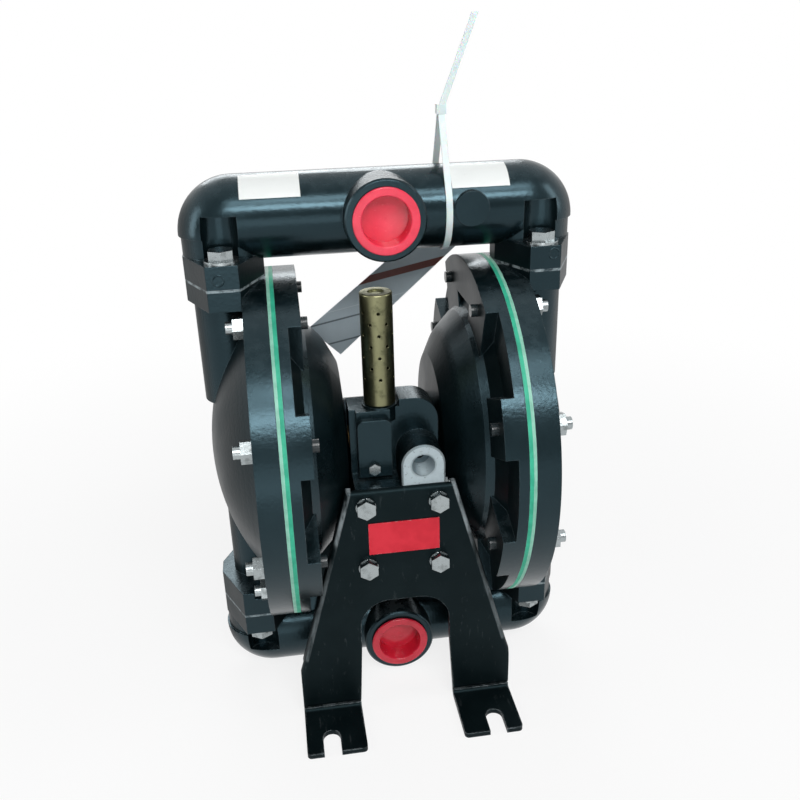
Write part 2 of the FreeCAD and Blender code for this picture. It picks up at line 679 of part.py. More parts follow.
def centre_body(node):
    body = new_body(node)
    core = sketch(body, "core_round", "YZ_Plane", "-core_half")
    circle(core, "0", "0", "core_r")
    pad(body, "core", core, "2 * core_half")
    upper = sketch(body, "upper_outline", "XZ_Plane", "body_back_y")
    outline(upper, [
        ("-core_half", "-block_top_z"), ("core_half", "-block_top_z"),
        ("core_half", "body_top_z - shoulder_r", "shoulder_r", 1), ("core_half - shoulder_r", "body_top_z"),
        ("body_step_x", "body_top_z"), ("body_step_x", "column_top_z"), ("-core_half", "column_top_z")])
    pad(body, "upper_block", upper, "body_front_y - body_back_y")
    lower = sketch(body, "lower_outline", "XZ_Plane", "-block_y")
    box_outline(lower, "-core_half", "core_half", "-block_low_z", "-block_top_z")
    pad(body, "lower_block", lower, "2 * block_y")
    lug = sketch(body, "lug_outline", "XZ_Plane", "block_y")
    outline(lug, [
        ("lug_x - lug_r", "-block_top_z"), ("lug_x + lug_r", "-block_top_z"),
        ("lug_x + lug_r", "lug_z", "lug_r", 1), ("lug_x - lug_r", "lug_z")])
    pad(body, "inlet_lug", lug, "block_y - body_front_y / 2", back=True)
    column = sketch(body, "column_outline", "XZ_Plane", "column_y")
    box_outline(column, "-column_left", "-column_right", "-block_top_z", "column_top_z")
    pad(body, "exhaust_column", column, "column_y - body_back_y", back=True)
    socket = sketch(body, "socket_outline", "XY_Plane", "muffler_socket")
    circle(socket, "-muffler_x", "-muffler_y", "muffler_socket_r")
    pad(body, "muffler_boss", socket, "muffler_foot_z - muffler_socket")
    arch = sketch(body, "arch_outline", "YZ_Plane", "-core_half")
    box_outline(arch, "-block_arch_y", "block_arch_y", "-block_low_z", "-block_arch_z")
    pocket(body, "underside", arch, "2 * core_half", back=True)
    dress(body, "Chamfer", "lug_edge", "edge_bevel", lambda e: is_circle(e, "lug_r", Y, "-block_y"))
    bore = sketch(body, "rod_bore_round", "YZ_Plane", "-core_half")
    circle(bore, "0", "0", "shaft_bore_r")
    pocket(body, "rod_bore", bore, "2 * core_half", back=True)
    pin = sketch(body, "pin_bore_round", "YZ_Plane", "-core_half")
    circle(pin, "pin_y", "pin_z", "pin_r + rod_fit")
    pocket(body, "pin_bore", pin, "2 * core_half", back=True)
    inlet = sketch(body, "inlet_round", "XZ_Plane", "block_y")
    circle(inlet, "lug_x", "lug_z", "inlet_r")
    pocket(body, "air_inlet", inlet, "inlet_depth")
    dress(body, "Chamfer", "inlet_edge", "inlet_chamfer", lambda e: is_circle(e, "inlet_r", Y, "-block_y"))
    entry = sketch(body, "air_entry_round", "XZ_Plane", "block_y")
    circle(entry, "lug_x", "lug_z", "inlet_r / 2")
    pocket(body, "air_entry", entry, "block_y - valve_axis_y")
    valve = sketch(body, "valve_bore_round", "YZ_Plane", "-core_half")
    circle(valve, "-valve_axis_y", "valve_axis_z", "valve_bore_r")
    pocket(body, "valve_bore", valve, "2 * core_half", back=True)
    socket = sketch(body, "muffler_bore_round", "XY_Plane", "muffler_foot_z - muffler_stub")
    circle(socket, "-muffler_x", "-muffler_y", "muffler_stub_r + thread_gap")
    pocket(body, "muffler_bore", socket, "muffler_stub", back=True)
    front = "(valve_axis_y + valve_bore_r + exhaust_wall)"
    chamber = sketch(body, "exhaust_outline", "XZ_Plane", "column_y")
    box_outline(chamber, "-column_left + 4", "-column_right - 4", "4", "column_top_z - 8")
    pocket(body, "exhaust_chamber", chamber, "column_y - " + front)
    outlet = sketch(body, "exhaust_port_round", "XZ_Plane", front)
    circle(outlet, "-exhaust_port_x", "valve_axis_z", "valve_port_r")
    pocket(body, "exhaust_port", outlet, "exhaust_wall + valve_bore_r / 2")
    cross = sketch(body, "way_cross_rounds", "XZ_Plane", "way_y - valve_port_r")
    for place in ("-valve_port_x", "valve_port_x"):
        circle(cross, place, "valve_axis_z", "valve_port_r")
    pocket(body, "way_cross", cross, "valve_axis_y - way_y", back=True)
    for name, start in (("right_way", "valve_port_x - valve_port_r"), ("left_way", "-core_half")):
        way = sketch(body, name + "_round", "YZ_Plane", start)
        circle(way, "-way_y", "valve_axis_z", "valve_port_r")
        pocket(body, name, way, "core_half - valve_port_x + valve_port_r", back=True)
    fasten = sketch(body, "cover_screw_round", "XZ_Plane", "column_y")
    circle(fasten, "-cover_screw_x", "-cover_screw_z", "cover_screw_r + thread_gap")
    pocket(body, "cover_screw_hole", fasten, "cover_screw_head * 4")
    for name, face, inward in (("front_threads", "block_y", False), ("rear_threads", "-block_y", True)):
        drill = sketch(body, name + "_rounds", "XZ_Plane", face)
        bracket_rounds(drill, "bracket_bolt_r + thread_gap")
        pocket(body, name, drill, "bracket_shank", back=inward)
    for side, start in (("right", "core_half - air_screw_len"), ("left", "-core_half")):
        caps = sketch(body, side + "_cap_screw_round", "YZ_Plane", start)
        circle(caps, "air_screw_ring * cos(ring_phase)", "air_screw_ring * sin(ring_phase)",
               "air_screw_r + thread_gap")
        hole = pocket(body, side + "_cap_screw", caps, "air_screw_len", back=True)
        around(body, side + "_cap_screws", [hole], "X_Axis", "ring_count / 2")
    ground = sketch(body, "ground_round", "YZ_Plane", "core_half")
    circle(ground, "-ground_y", "-ground_z", "ground_r + thread_gap")
    pocket(body, "ground_threads", ground, "ground_deep")
    return body


def bracket_rounds(made, radius):
    """Rounds at the four bracket bolts."""
    for side in ("", "-"):
        for level in ("bracket_bolt_z1", "bracket_bolt_z2"):
            circle(made, f"{side}bracket_bolt_x", "-" + level, radius)


def exhaust_cover(node):
    body = new_body(node)
    plate = sketch(body, "plate_outline", "XZ_Plane", "column_y")
    box_outline(plate, "-column_left", "-column_right", "-column_low_z", "cover_top_z")
    pad(body, "plate", plate, "cover_thick")
    dress(body, "Fillet", "top_corners", "cover_round",
          lambda e: len(e.Vertexes) == 2 and all(abs(v.Z - number("cover_top_z")) < 0.01 for v in e.Vertexes)
          and abs(e.Vertexes[0].Y - e.Vertexes[1].Y) > 1)
    drill = sketch(body, "screw_round", "XZ_Plane", "column_y + cover_thick")
    circle(drill, "-cover_screw_x", "-cover_screw_z", "cover_screw_r + 0.3")
    pocket(body, "screw_hole", drill, "cover_thick")
    return body


def cover_screw(node):
    body = new_body(node)
    stem = sketch(body, "shank_round", "XZ_Plane", "column_y - cover_screw_head * 3")
    circle(stem, "-cover_screw_x", "-cover_screw_z", "cover_screw_r")
    pad(body, "shank", stem, "cover_thick + cover_screw_head * 3")
    crown = sketch(body, "head_outline", "XZ_Plane", "column_y + cover_thick")
    hexagon(crown, "-cover_screw_x", "-cover_screw_z", "cover_screw_af")
    pad(body, "head", crown, "cover_screw_head")
    return body


def muffler(node):
    """A pressed can with staggered sound holes, screwed in by its stub."""
    body = new_body(node, "axis_z + muffler_foot_z")
    bind(body, "Placement.Base.x", "-muffler_x")
    bind(body, "Placement.Base.y", "-muffler_y")
    top = "muffler_len"
    skin = sketch(body, "skin", "XZ_Plane")
    outline(skin, [
        ("muffler_stub_r - 3", "-muffler_stub"), ("muffler_stub_r", "-muffler_stub"), ("muffler_stub_r", "0"),
        ("muffler_r", "0"), ("muffler_r", top), ("muffler_r / 2", top),
        ("muffler_r / 2", f"{top} - muffler_wall"), ("0", f"{top} - muffler_wall"),
        ("0", f"{top} - 2 * muffler_wall"), ("muffler_r - muffler_wall", f"{top} - 2 * muffler_wall"),
        ("muffler_r - muffler_wall", "muffler_wall * 2"), ("muffler_stub_r - 3", "muffler_wall * 2")])
    turned(body, "Revolution", "can", skin, "V_Axis")
    dress(body, "Fillet", "top_roll", "muffler_roll", lambda e: is_circle(e, "muffler_r", Z, top))
    dress(body, "Fillet", "foot_roll", "muffler_roll", lambda e: is_circle(e, "muffler_r", Z, "0"))
    step = 180 / float(SIZES["muffler_hole_count"])
    for name, first, count, turn in (
            ("even", "muffler_hole_first", 4, 0),
            ("odd", "muffler_hole_first + muffler_hole_pitch", 3, step)):
        rounds = sketch(body, name + "_rounds", "XZ_Plane")
        rounds.AttachmentOffset = FreeCAD.Placement(Vector(0, 0, 0), FreeCAD.Rotation(Y, turn))
        for k in range(count):
            circle(rounds, "0", f"{first} + {2 * k} * muffler_hole_pitch", "muffler_hole_r")
        holes = pocket(body, name + "_holes", rounds, "muffler_r")
        holes.Reversed = True
        around(body, name + "_hole_rings", [holes], "Z_Axis", "muffler_hole_count")
    return body


# Brackets: bent plate feet, bolted to the centre body front and rear

def bracket(node):
    body = new_body(node)
    fold_z = "(axis_z - plate_t - foot_round)"
    face = sketch(body, "plate_outline", "XZ_Plane", "bracket_front_y")
    outline(face, [
        ("-plate_top_half", "-plate_top_z"), ("-plate_knee_half", "-plate_knee_z"),
        ("-leg_out", "-leg_knee_z"),
        ("-leg_out", "-" + fold_z), ("leg_out", "-" + fold_z), ("leg_out", "-leg_knee_z"),
        ("plate_knee_half", "-plate_knee_z"), ("plate_top_half", "-plate_top_z")])
    pad(body, "plate", face, "plate_t", back=True)
    lip = sketch(body, "lip_outline", "XZ_Plane", "bracket_front_y")
    for side in ("", "-"):
        outline(lip, [
            (f"{side}(plate_top_half - plate_t)", "-plate_top_z"), (f"{side}plate_top_half", "-plate_top_z"),
            (f"{side}plate_knee_half", "-plate_knee_z"),
            (f"{side}(plate_knee_half - plate_t)", "-plate_knee_z")])
    pad(body, "side_lips", lip, "flange_depth", back=True)
    dress(body, "Fillet", "side_bends", "bend_r", slanted_front_edge)
    window = sketch(body, "arch_outline", "XZ_Plane", "bracket_front_y")
    outline(window, [
        ("leg_in", "-" + fold_z), ("arch_half", "-arch_foot_z"),
        ("arch_half", "-arch_top_z - arch_r", "arch_r", 1), ("arch_half - arch_r", "-arch_top_z"),
        ("arch_r - arch_half", "-arch_top_z", "arch_r", 1), ("-arch_half", "-arch_top_z - arch_r"),
        ("-arch_half", "-arch_foot_z"), ("-leg_in", "-" + fold_z)])
    pocket(body, "arch", window, "plate_t")
    bend = sketch(body, "fold_outline", "XY_Plane", "-" + fold_z, "-bracket_front_y - foot_round")
    for side in ("", "-"):
        box_outline(bend, f"{side}leg_in", f"{side}leg_out", "foot_round", "foot_round + plate_t")
    turned(body, "Revolution", "folds", bend, "H_Axis", "90", back=True)
    sole = sketch(body, "foot_outline", "XY_Plane", "-axis_z")
    for side in ("", "-"):
        box_outline(sole, f"{side}leg_in", f"{side}leg_out",
                    "-bracket_front_y - foot_len", "-bracket_front_y - foot_round")
    pad(body, "feet", sole, "plate_t")
    dress(body, "Fillet", "foot_corners", "bend_r",
          lambda e: upright(e) and abs(e.Vertexes[0].Y + number("bracket_front_y + foot_len")) < 0.01)
    slots = sketch(body, "slot_outline", "XY_Plane", "-axis_z")
    for side in (1, -1):
        sign = "" if side > 0 else "-"
        outline(slots, [
            (f"{sign}slot_x + slot_r", "-slot_y", "slot_r", 1), (f"{sign}slot_x - slot_r", "-slot_y"),
            (f"{sign}slot_x - slot_r", "-bracket_front_y - foot_len"),
            (f"{sign}slot_x + slot_r", "-bracket_front_y - foot_len")])
    pocket(body, "foot_slots", slots, "plate_t", back=True)
    drill = sketch(body, "bolt_rounds", "XZ_Plane", "bracket_front_y")
    bracket_rounds(drill, "bracket_hole_r")
    pocket(body, "bolt_holes", drill, "plate_t")
    return body


def upright(edge):
    """True for a straight edge that runs along Z."""
    return isinstance(edge.Curve, Part.Line) and abs(abs(edge.Curve.Direction.z) - 1) < 1e-6


def slanted_front_edge(edge):
    """True for the long slanted edges of the bracket plate's front face."""
    if not isinstance(edge.Curve, Part.Line) or edge.Length < number("plate_knee_z - plate_top_z") / 2:
        return False
    ends = edge.Vertexes
    at_front = all(abs(v.Y + number("bracket_front_y")) < 0.01 for v in ends)
    outer = all(abs(v.X) > number("plate_top_half") - 0.01 for v in ends)
    return at_front and outer and abs(ends[0].X - ends[1].X) > 10


# Fasteners

def ring_set(node, parts):
    """Eight like pieces round the rim. Each part is (outline kind, start, length, size)."""
    body = new_body(node)
    grown = []
    for k, (kind, start, length, size) in enumerate(parts):
        made = sketch(body, f"outline_{k}", "YZ_Plane", start)
        spot = ("ring_r * cos(ring_phase)", "ring_r * sin(ring_phase)")
        if kind == "hex":
            hexagon(made, *spot, size)
        else:
            circle(made, *spot, size)
        if kind == "bore":
            grown.append(pocket(body, f"bore_{k}", made, length, back=True))
        else:
            grown.append(pad(body, f"step_{k}", made, length))
    around(body, "set", grown, "X_Axis", "ring_count")
    return body


def cap_bolts(node):
    """Studs screwed through the air cap's lobes."""
    length = "fluid_flange_x + ring_nut + 2 * ring_bolt_out - lobe_face_x"
    return ring_set(node, [("round", "lobe_face_x - ring_bolt_out", length, "ring_bolt_r")])


def cap_nuts(node):
    return ring_set(node, [
        ("hex", "fluid_flange_x", "ring_nut", "ring_bolt_af"),
        ("bore", "fluid_flange_x", "ring_nut", "ring_bolt_r + thread_gap")])


def joint_bolts(node):
    """Flange bolts of both manifolds, heads outward."""
    body = new_body(node)
    steps = []
    for kind, start, length, size in (
            ("round", "joint_h + pad_thick - joint_grip", "joint_grip", "joint_bolt_r"),
            ("round", "joint_h + pad_thick", "joint_washer_t", "joint_washer_r"),
            ("hex", "joint_h + pad_thick + joint_washer_t", "joint_head", "joint_bolt_af")):
        made = sketch(body, f"outline_{len(steps)}", "XY_Plane", start)
        for side in ("", "-"):
            for end in ("", "-"):
                spot = (f"{end}elbow_x", f"{side}pad_bolt_y")
                if kind == "hex":
                    hexagon(made, *spot, size)
                else:
                    circle(made, *spot, size)
        steps.append(pad(body, f"step_{len(steps)}", made, length))
    mirror(body, "both_manifolds", steps, "XY_Plane")
    return body


def bracket_bolts(node):
    body = new_body(node)
    seat = "bracket_front_y + lock_washer_t"
    stem = sketch(body, "shank_rounds", "XZ_Plane", f"{seat} - bracket_shank")
    bracket_rounds(stem, "bracket_bolt_r")
    shank = pad(body, "shanks", stem, "bracket_shank")
    crown = sketch(body, "head_outlines", "XZ_Plane", seat)
    for side in ("", "-"):
        for level in ("bracket_bolt_z1", "bracket_bolt_z2"):
            hexagon(crown, f"{side}bracket_bolt_x", "-" + level, "bracket_bolt_af")
    heads = pad(body, "heads", crown, "bracket_head")
    mirror(body, "front_and_rear", [shank, heads], "XZ_Plane")
    return body


def lock_washers(node):
    body = new_body(node)
    disc = sketch(body, "rounds", "XZ_Plane", "bracket_front_y")
    bracket_rounds(disc, "lock_washer_r")
    bracket_rounds(disc, "bracket_hole_r")
    rings = pad(body, "rings", disc, "lock_washer_t")
    mirror(body, "front_and_rear", [rings], "XZ_Plane")
    return body


def air_cap_screws(node):
    """Countersunk screws that hold the air caps to the centre body."""
    body = new_body(node)
    grown = []
    face = "core_half + air_wall"
    for name, start, length, size in (
            ("shank", "core_half - air_screw_len + 1", "air_screw_len - 1 + air_wall", "air_screw_r"),
            ("head", f"{face} - air_screw_head", "air_screw_head", "air_screw_head_r")):
        made = sketch(body, name + "_round", "YZ_Plane", start)
        circle(made, "air_screw_ring * cos(ring_phase)", "air_screw_ring * sin(ring_phase)", size)
        grown.append(pad(body, name, made, length))
    key = sketch(body, "key_outline", "YZ_Plane", f"{face} - air_screw_key")
    hexagon(key, "air_screw_ring * cos(ring_phase)", "air_screw_ring * sin(ring_phase)", "air_screw_r")
    grown.append(pocket(body, "key", key, "air_screw_key", back=True))
    around(body, "one_side", grown, "X_Axis", "ring_count / 2")
    mirror(body, "both_sides", [], "YZ_Plane", whole=True)
    return body


# Valve train: seats, flat rings, balls and port plugs

def seat(node, side, level):
    body = new_body(node)
    base = "joint_h - seat_depth" if level > 0 else "seat_depth - seat_thick - joint_h"
    disc = sketch(body, "rounds", "XY_Plane", base)
    spot = ("elbow_x" if side > 0 else "-elbow_x", "0")
    circle(disc, *spot, "seat_r")
    circle(disc, *spot, "seat_bore_r")
    pad(body, "ring", disc, "seat_thick")
    return body


def seat_rings(node):
    body = new_body(node)
    for name, start in (("upper", "joint_h - seat_depth + seat_thick"), ("lower", "-joint_h")):
        disc = sketch(body, name + "_rounds", "XY_Plane", start)
        for side in ("", "-"):
            circle(disc, f"{side}elbow_x", "0", "seat_r")
            circle(disc, f"{side}elbow_x", "0", "ring_seal_bore_r")
        pad(body, name, disc, "seat_depth - seat_thick")
    return body


def ball(node, side, level):
    rest = "sqrt(ball_r * ball_r - seat_bore_r * seat_bore_r) + ball_gap"
    top = "joint_h - seat_depth + seat_thick" if level > 0 else "seat_depth - joint_h"
    made = doc.addObject("Part::Sphere", node)
    made.Label = node
    bind(made, "Radius", "ball_r")
    bind(made, "Placement.Base.x", "elbow_x" if side > 0 else "-elbow_x")
    bind(made, "Placement.Base.z", f"axis_z + {top} + {rest}")
    return made


def port_plug(node, level):
    body = new_body(node, f"axis_z {level} port_h")
    face = "-boss_y - plug_gap"
    inner, outer = "(plug_skirt_r - plug_wall)", "plug_skirt_r"
    bulge_in = f"({inner} * {inner} + plug_bulge * plug_bulge) / (2 * plug_bulge)"
    bulge_out = f"({outer} * {outer} + plug_bulge * plug_bulge) / (2 * plug_bulge)"
    skin = sketch(body, "skin", "YZ_Plane")
    outline(skin, [
        (f"{face} - plug_rim_t", "plug_rim_r"), (f"{face} - plug_rim_t", "plug_skirt_r - plug_wall"),
        (f"{face} + plug_depth - plug_wall", "plug_skirt_r - plug_wall", bulge_in, 1),
        (f"{face} + plug_depth - plug_wall - plug_bulge", "0"),
        (f"{face} + plug_depth - plug_bulge", "0", bulge_out, -1),
        (f"{face} + plug_depth", "plug_skirt_r"), (face, "plug_skirt_r"), (face, "plug_rim_r")])
    turned(body, "Revolution", "cup", skin)
    dress(body, "Fillet", "rim_round", "plug_round", lambda e: is_circle(e, "plug_rim_r", Y))
    dress(body, "Fillet", "mouth_round", "plug_round",
          lambda e: is_circle(e, "plug_skirt_r - plug_wall", Y, f"{face} - plug_rim_t"))
    return body


# Diaphragms, rod and washers

def diaphragm(node, inner_x, thick):
    """A rubber disc clamped at its rim, with a moulded roll round the washers."""
    body = new_body(node)
    skin = sketch(body, "skin", "XZ_Plane")
    outer_x = f"{inner_x} + {thick}"
    outline(skin, [
        (inner_x, "diaphragm_hole_r + thread_gap"), (outer_x, "diaphragm_hole_r + thread_gap"),
        (outer_x, "convolution_in_r", "convolution_r", 1), (outer_x, "chamber_r"), (outer_x, "rim_r"),
        (inner_x, "rim_r"), (inner_x, "chamber_r", "convolution_r", -1), (inner_x, "convolution_in_r")])
    turned(body, "Revolution", "disc", skin)
    ring_holes(body, inner_x, thick)
    return body


def clamp_washer(node, start):
    body = new_body(node)
    disc = sketch(body, "rounds", "YZ_Plane", start)
    circle(disc, "0", "0", "washer_r")
    circle(disc, "0", "0", "diaphragm_hole_r + thread_gap")
    pad(body, "disc", disc, "washer_t")
    dress(body, "Fillet", "edges", "washer_edge", lambda e: is_circle(e, "washer_r", X))
    return body


def rod(node):
    body = new_body(node)
    bar = sketch(body, "bar_round", "YZ_Plane", "washer_t - air_face_x")
    circle(bar, "0", "0", "rod_r")
    pad(body, "bar", bar, "2 * (air_face_x - washer_t)")
    end = "air_face_x - washer_t"
    bore = sketch(body, "thread_round", "YZ_Plane", f"{end} - rod_thread_depth")
    circle(bore, "0", "0", "diaphragm_hole_r + thread_gap")
    hole = pocket(body, "thread", bore, "rod_thread_depth", back=True)
    mirror(body, "both_threads", [hole], "YZ_Plane")
    return body


def rod_screws(node):
    body = new_body(node)
    face = "fluid_face_x + washer_t"
    stem = sketch(body, "shank_round", "YZ_Plane", "air_face_x - washer_t - rod_thread_depth + 0.5")
    circle(stem, "0", "0", "diaphragm_hole_r")
    shank = pad(body, "shank", stem, f"{face} - (air_face_x - washer_t - rod_thread_depth + 0.5)")
    crown = sketch(body, "head_outline", "YZ_Plane", face)
    hexagon(crown, "0", "0", "2 * rod_r")
    head = pad(body, "head", crown, "screw_head")
    mirror(body, "both_ends", [shank, head], "YZ_Plane")
    return body


def sleeves(node, start, length):
    """A pair of rings in the rod's bore, one towards each end."""
    body = new_body(node)
    ring = sketch(body, "rounds", "YZ_Plane", start)
    circle(ring, "0", "0", "shaft_bore_r")
    circle(ring, "0", "0", "rod_r + rod_fit")
    one = pad(body, "ring", ring, length)
    mirror(body, "both_ends", [one], "YZ_Plane")
    return body


def pilot_pin(node):
    body = new_body(node)
    bar = sketch(body, "round", "YZ_Plane", "-pin_half")
    circle(bar, "pin_y", "pin_z", "pin_r")
    pad(body, "pin", bar, "2 * pin_half")
    dress(body, "Chamfer", "ends", "1", lambda e: is_circle(e, "pin_r", X))
    return body


# Air valve in the centre body

def valve_sleeve(node):
    body = new_body(node)
    tube = sketch(body, "rounds", "YZ_Plane", "-sleeve_half")
    circle(tube, "-valve_axis_y", "valve_axis_z", "valve_bore_r")
    circle(tube, "-valve_axis_y", "valve_axis_z", "sleeve_bore_r")
    pad(body, "tube", tube, "2 * sleeve_half")
    ports = sketch(body, "port_rounds", "XZ_Plane", "valve_axis_y + valve_bore_r")
    for place in ("-valve_port_x", "valve_port_x", "-exhaust_port_x"):
        circle(ports, place, "valve_axis_z", "valve_port_r")
    pocket(body, "ports", ports, "2 * valve_bore_r")
    supply = sketch(body, "supply_round", "XY_Plane", "valve_axis_z - valve_bore_r")
    circle(supply, "lug_x", "-valve_axis_y", "valve_port_r")
    pocket(body, "supply", supply, "valve_bore_r", back=True)
    return body


def valve_spool(node):
    """A spool with lands and waists, turned about the valve's own axis."""
    body = new_body(node, "axis_z + valve_axis_z")
    bind(body, "Placement.Base.y", "-valve_axis_y")
    bar = sketch(body, "bar_round", "YZ_Plane", "-spool_half")
    circle(bar, "0", "0", "spool_r")
    pad(body, "bar", bar, "2 * spool_half")
    waist = sketch(body, "waist_outline", "XZ_Plane")
    box_outline(waist, "spool_land / 2", "spool_land / 2 + spool_groove", "spool_groove_r", "spool_r")
    groove = turned(body, "Groove", "waist", waist)
    mirror(body, "both_waists", [groove], "YZ_Plane")
    return body


def valve_end_caps(node):
    body = new_body(node, "axis_z + valve_axis_z")
    bind(body, "Placement.Base.y", "-valve_axis_y")
    stub = sketch(body, "stub_round", "YZ_Plane", "sleeve_half")
    circle(stub, "0", "0", "valve_bore_r")
    inner = pad(body, "stub", stub, "core_half - sleeve_half")
    key = sketch(body, "key_outline", "YZ_Plane", "core_half")
    hexagon(key, "0", "0", "valve_cap_key")
    socket = pocket(body, "key", key, "valve_key_deep")
    mirror(body, "both_ends", [inner, socket], "YZ_Plane")
    return body


# Plate, labels, earth screw, tie and tag

def nameplate(node):
    body = new_body(node)
    face = sketch(body, "outline", "XZ_Plane", "bracket_front_y")
    box_outline(face, "nameplate_x - nameplate_w / 2", "nameplate_x + nameplate_w / 2",
                "-nameplate_z - nameplate_hgt / 2", "-nameplate_z + nameplate_hgt / 2")
    pad(body, "plate", face, "nameplate_t")
    return body


def pipe_label(node, middle):
    """A thin label wrapped on the front of the outlet pipe."""
    body = new_body(node, "axis_z + port_h")
    bind(body, "Placement.Rotation.Angle", "90 - label_high")
    body.Placement.Rotation.Axis = X
    strip = sketch(body, "strip", "XZ_Plane")
    box_outline(strip, f"{middle} - label_w / 2", f"{middle} + label_w / 2", "pipe_r", "pipe_r + label_t")
    turned(body, "Revolution", "label", strip, "H_Axis", "label_high - label_low")
    return body


def ground_screw(node):
    body = new_body(node)
    stem = sketch(body, "shank_round", "YZ_Plane", "core_half - ground_deep + thread_gap")
    circle(stem, "-ground_y", "-ground_z", "ground_r")
    pad(body, "shank", stem, "ground_deep - thread_gap + ground_out")
    crown = sketch(body, "head_outline", "YZ_Plane", "core_half")
    hexagon(crown, "-ground_y", "-ground_z", "3 * ground_r")
    pad(body, "head", crown, "ground_out - 2")
    return body


def cable_tie(node):
    """A strap drawn round the outlet pipe up to its lock, the spare end standing up."""
    body = new_body(node, "axis_z + port_h")
    bind(body, "Placement.Base.x", "tie_x")
    bind(body, "Placement.Base.y", "tie_shift")
    inner = "(pipe_r + tie_clear)"
    loop = sketch(body, "loop_outline", "YZ_Plane", "-tie_w / 2")
    for radius in (f"({inner} + tie_t)", inner):
        side, up = f"{radius} * sin(tie_open)", f"{radius} * cos(tie_open)"
        outline(loop, [
            ("-" + side, up, radius, 1), ("0", f"-{radius}", radius, 1), (side, up),
            ("0", f"{radius} / cos(tie_open)")])
    pad(body, "loop", loop, "tie_w")
    peak = f"{inner} / cos(tie_open)"
    lock = sketch(body, "lock_outline", "XY_Plane", f"{peak} - tie_head / 2")
    box_outline(lock, "-tie_head / 2", "tie_head / 2", "-tie_head / 2", "tie_head / 2")
    pad(body, "lock", lock, "tie_head")
    tail = sketch(body, "tail_outline", "XZ_Plane", "-tie_t / 2")
    top = "tie_top_z - port_h"
    outline(tail, [
        ("-tie_w / 2", peak), ("tie_w / 2", peak), ("tie_tail_dx + tie_w / 2", top),
        ("tie_tail_dx - tie_w / 2", top)])
    pad(body, "tail", tail, "tie_t")
    return body


def hang_tag(node):
    """A printed strip that leans out behind the outlet pipe, hung on the tie by its neck."""
    body = new_body(node, "axis_z + port_h")
    bind(body, "Placement.Rotation.Angle", "tag_lean")
    body.Placement.Rotation.Axis = X
    face = "-pipe_r - tag_gap"
    strip = sketch(body, "strip_outline", "XZ_Plane", face)
    far = ("-tag_end_x + tag_len * cos(tag_turn)", "-tag_end_z + tag_len * sin(tag_turn)")
    near = ("-tag_end_x", "-tag_end_z")
    across = ("tag_w / 2 * sin(tag_turn)", "tag_w / 2 * cos(tag_turn)")
    outline(strip, [
        (f"{near[0]} + {across[0]}", f"{near[1]} - {across[1]}"),
        (f"{far[0]} + tag_taper * {across[0]}", f"{far[1]} - tag_taper * {across[1]}"),
        (f"{far[0]} - {across[0]}", f"{far[1]} + {across[1]}"),
        (f"{near[0]} - {across[0]}", f"{near[1]} + {across[1]}")])
    pad(body, "strip", strip, "tag_t", back=True)
    neck = sketch(body, "neck_outline", "XZ_Plane", face)
    box_outline(neck, "tie_x - tag_neck_w / 2", "tie_x + tag_neck_w / 2", "-tag_neck_z", "tag_band")
    pad(body, "neck", neck, "tag_t", back=True)
    slot = sketch(body, "slot_outline", "XZ_Plane", face)
    box_outline(slot, "tie_x - tie_w * 0.7", "tie_x + tie_w * 0.7", "-tag_band - tag_slot", "-tag_band")
    pocket(body, "slot", slot, "tag_t")
    return body


# The assembly

made = {}
made["outlet_manifold"] = manifold("outlet_manifold")
made["inlet_manifold"] = opposite("inlet_manifold", made["outlet_manifold"], Z)
made["right_fluid_cap"] = fluid_cap("right_fluid_cap")
made["left_fluid_cap"] = opposite("left_fluid_cap", made["right_fluid_cap"], X)
made["right_air_cap"] = air_cap("right_air_cap")
made["left_air_cap"] = opposite("left_air_cap", made["right_air_cap"], X)
made["center_body"] = centre_body("center_body")
made["exhaust_cover"] = exhaust_cover("exhaust_cover")
made["exhaust_cover_screw"] = cover_screw("exhaust_cover_screw")
made["muffler"] = muffler("muffler")
made["front_bracket"] = bracket("front_bracket")
made["rear_bracket"] = opposite("rear_bracket", made["front_bracket"], Y)
made["bracket_bolts"] = bracket_bolts("bracket_bolts")
made["bracket_lock_washers"] = lock_washers("bracket_lock_washers")
made["right_cap_bolts"] = cap_bolts("right_cap_bolts")
made["left_cap_bolts"] = opposite("left_cap_bolts", made["right_cap_bolts"], X)
made["right_cap_nuts"] = cap_nuts("right_cap_nuts")
made["left_cap_nuts"] = opposite("left_cap_nuts", made["right_cap_nuts"], X)
made["manifold_bolts"] = joint_bolts("manifold_bolts")
made["air_cap_screws"] = air_cap_screws("air_cap_screws")
made["outlet_plug"] = port_plug("outlet_plug", "+")
made["inlet_plug"] = port_plug("inlet_plug", "-")
for side_name, side in (("right", 1), ("left", -1)):
    for level_name, level in (("outlet", 1), ("inlet", -1)):
        seat_node = f"{side_name}_{level_name}_seat"
        ball_node = f"{side_name}_{level_name}_ball"
        made[seat_node] = seat(seat_node, side, level)
        made[ball_node] = ball(ball_node, side, level)
made["seat_rings"] = seat_rings("seat_rings")
made["right_backup_diaphragm"] = diaphragm("right_backup_diaphragm", "air_face_x", "backup_t")
made["left_backup_diaphragm"] = opposite("left_backup_diaphragm", made["right_backup_diaphragm"], X)
made["right_overlay_diaphragm"] = diaphragm(
    "right_overlay_diaphragm", "air_face_x + backup_t", "fluid_face_x - air_face_x - backup_t")
made["left_overlay_diaphragm"] = opposite("left_overlay_diaphragm", made["right_overlay_diaphragm"], X)
made["right_air_washer"] = clamp_washer("right_air_washer", "air_face_x - washer_t")
made["left_air_washer"] = opposite("left_air_washer", made["right_air_washer"], X)
made["right_fluid_washer"] = clamp_washer("right_fluid_washer", "fluid_face_x")
made["left_fluid_washer"] = opposite("left_fluid_washer", made["right_fluid_washer"], X)
made["diaphragm_rod"] = rod("diaphragm_rod")
made["rod_screws"] = rod_screws("rod_screws")
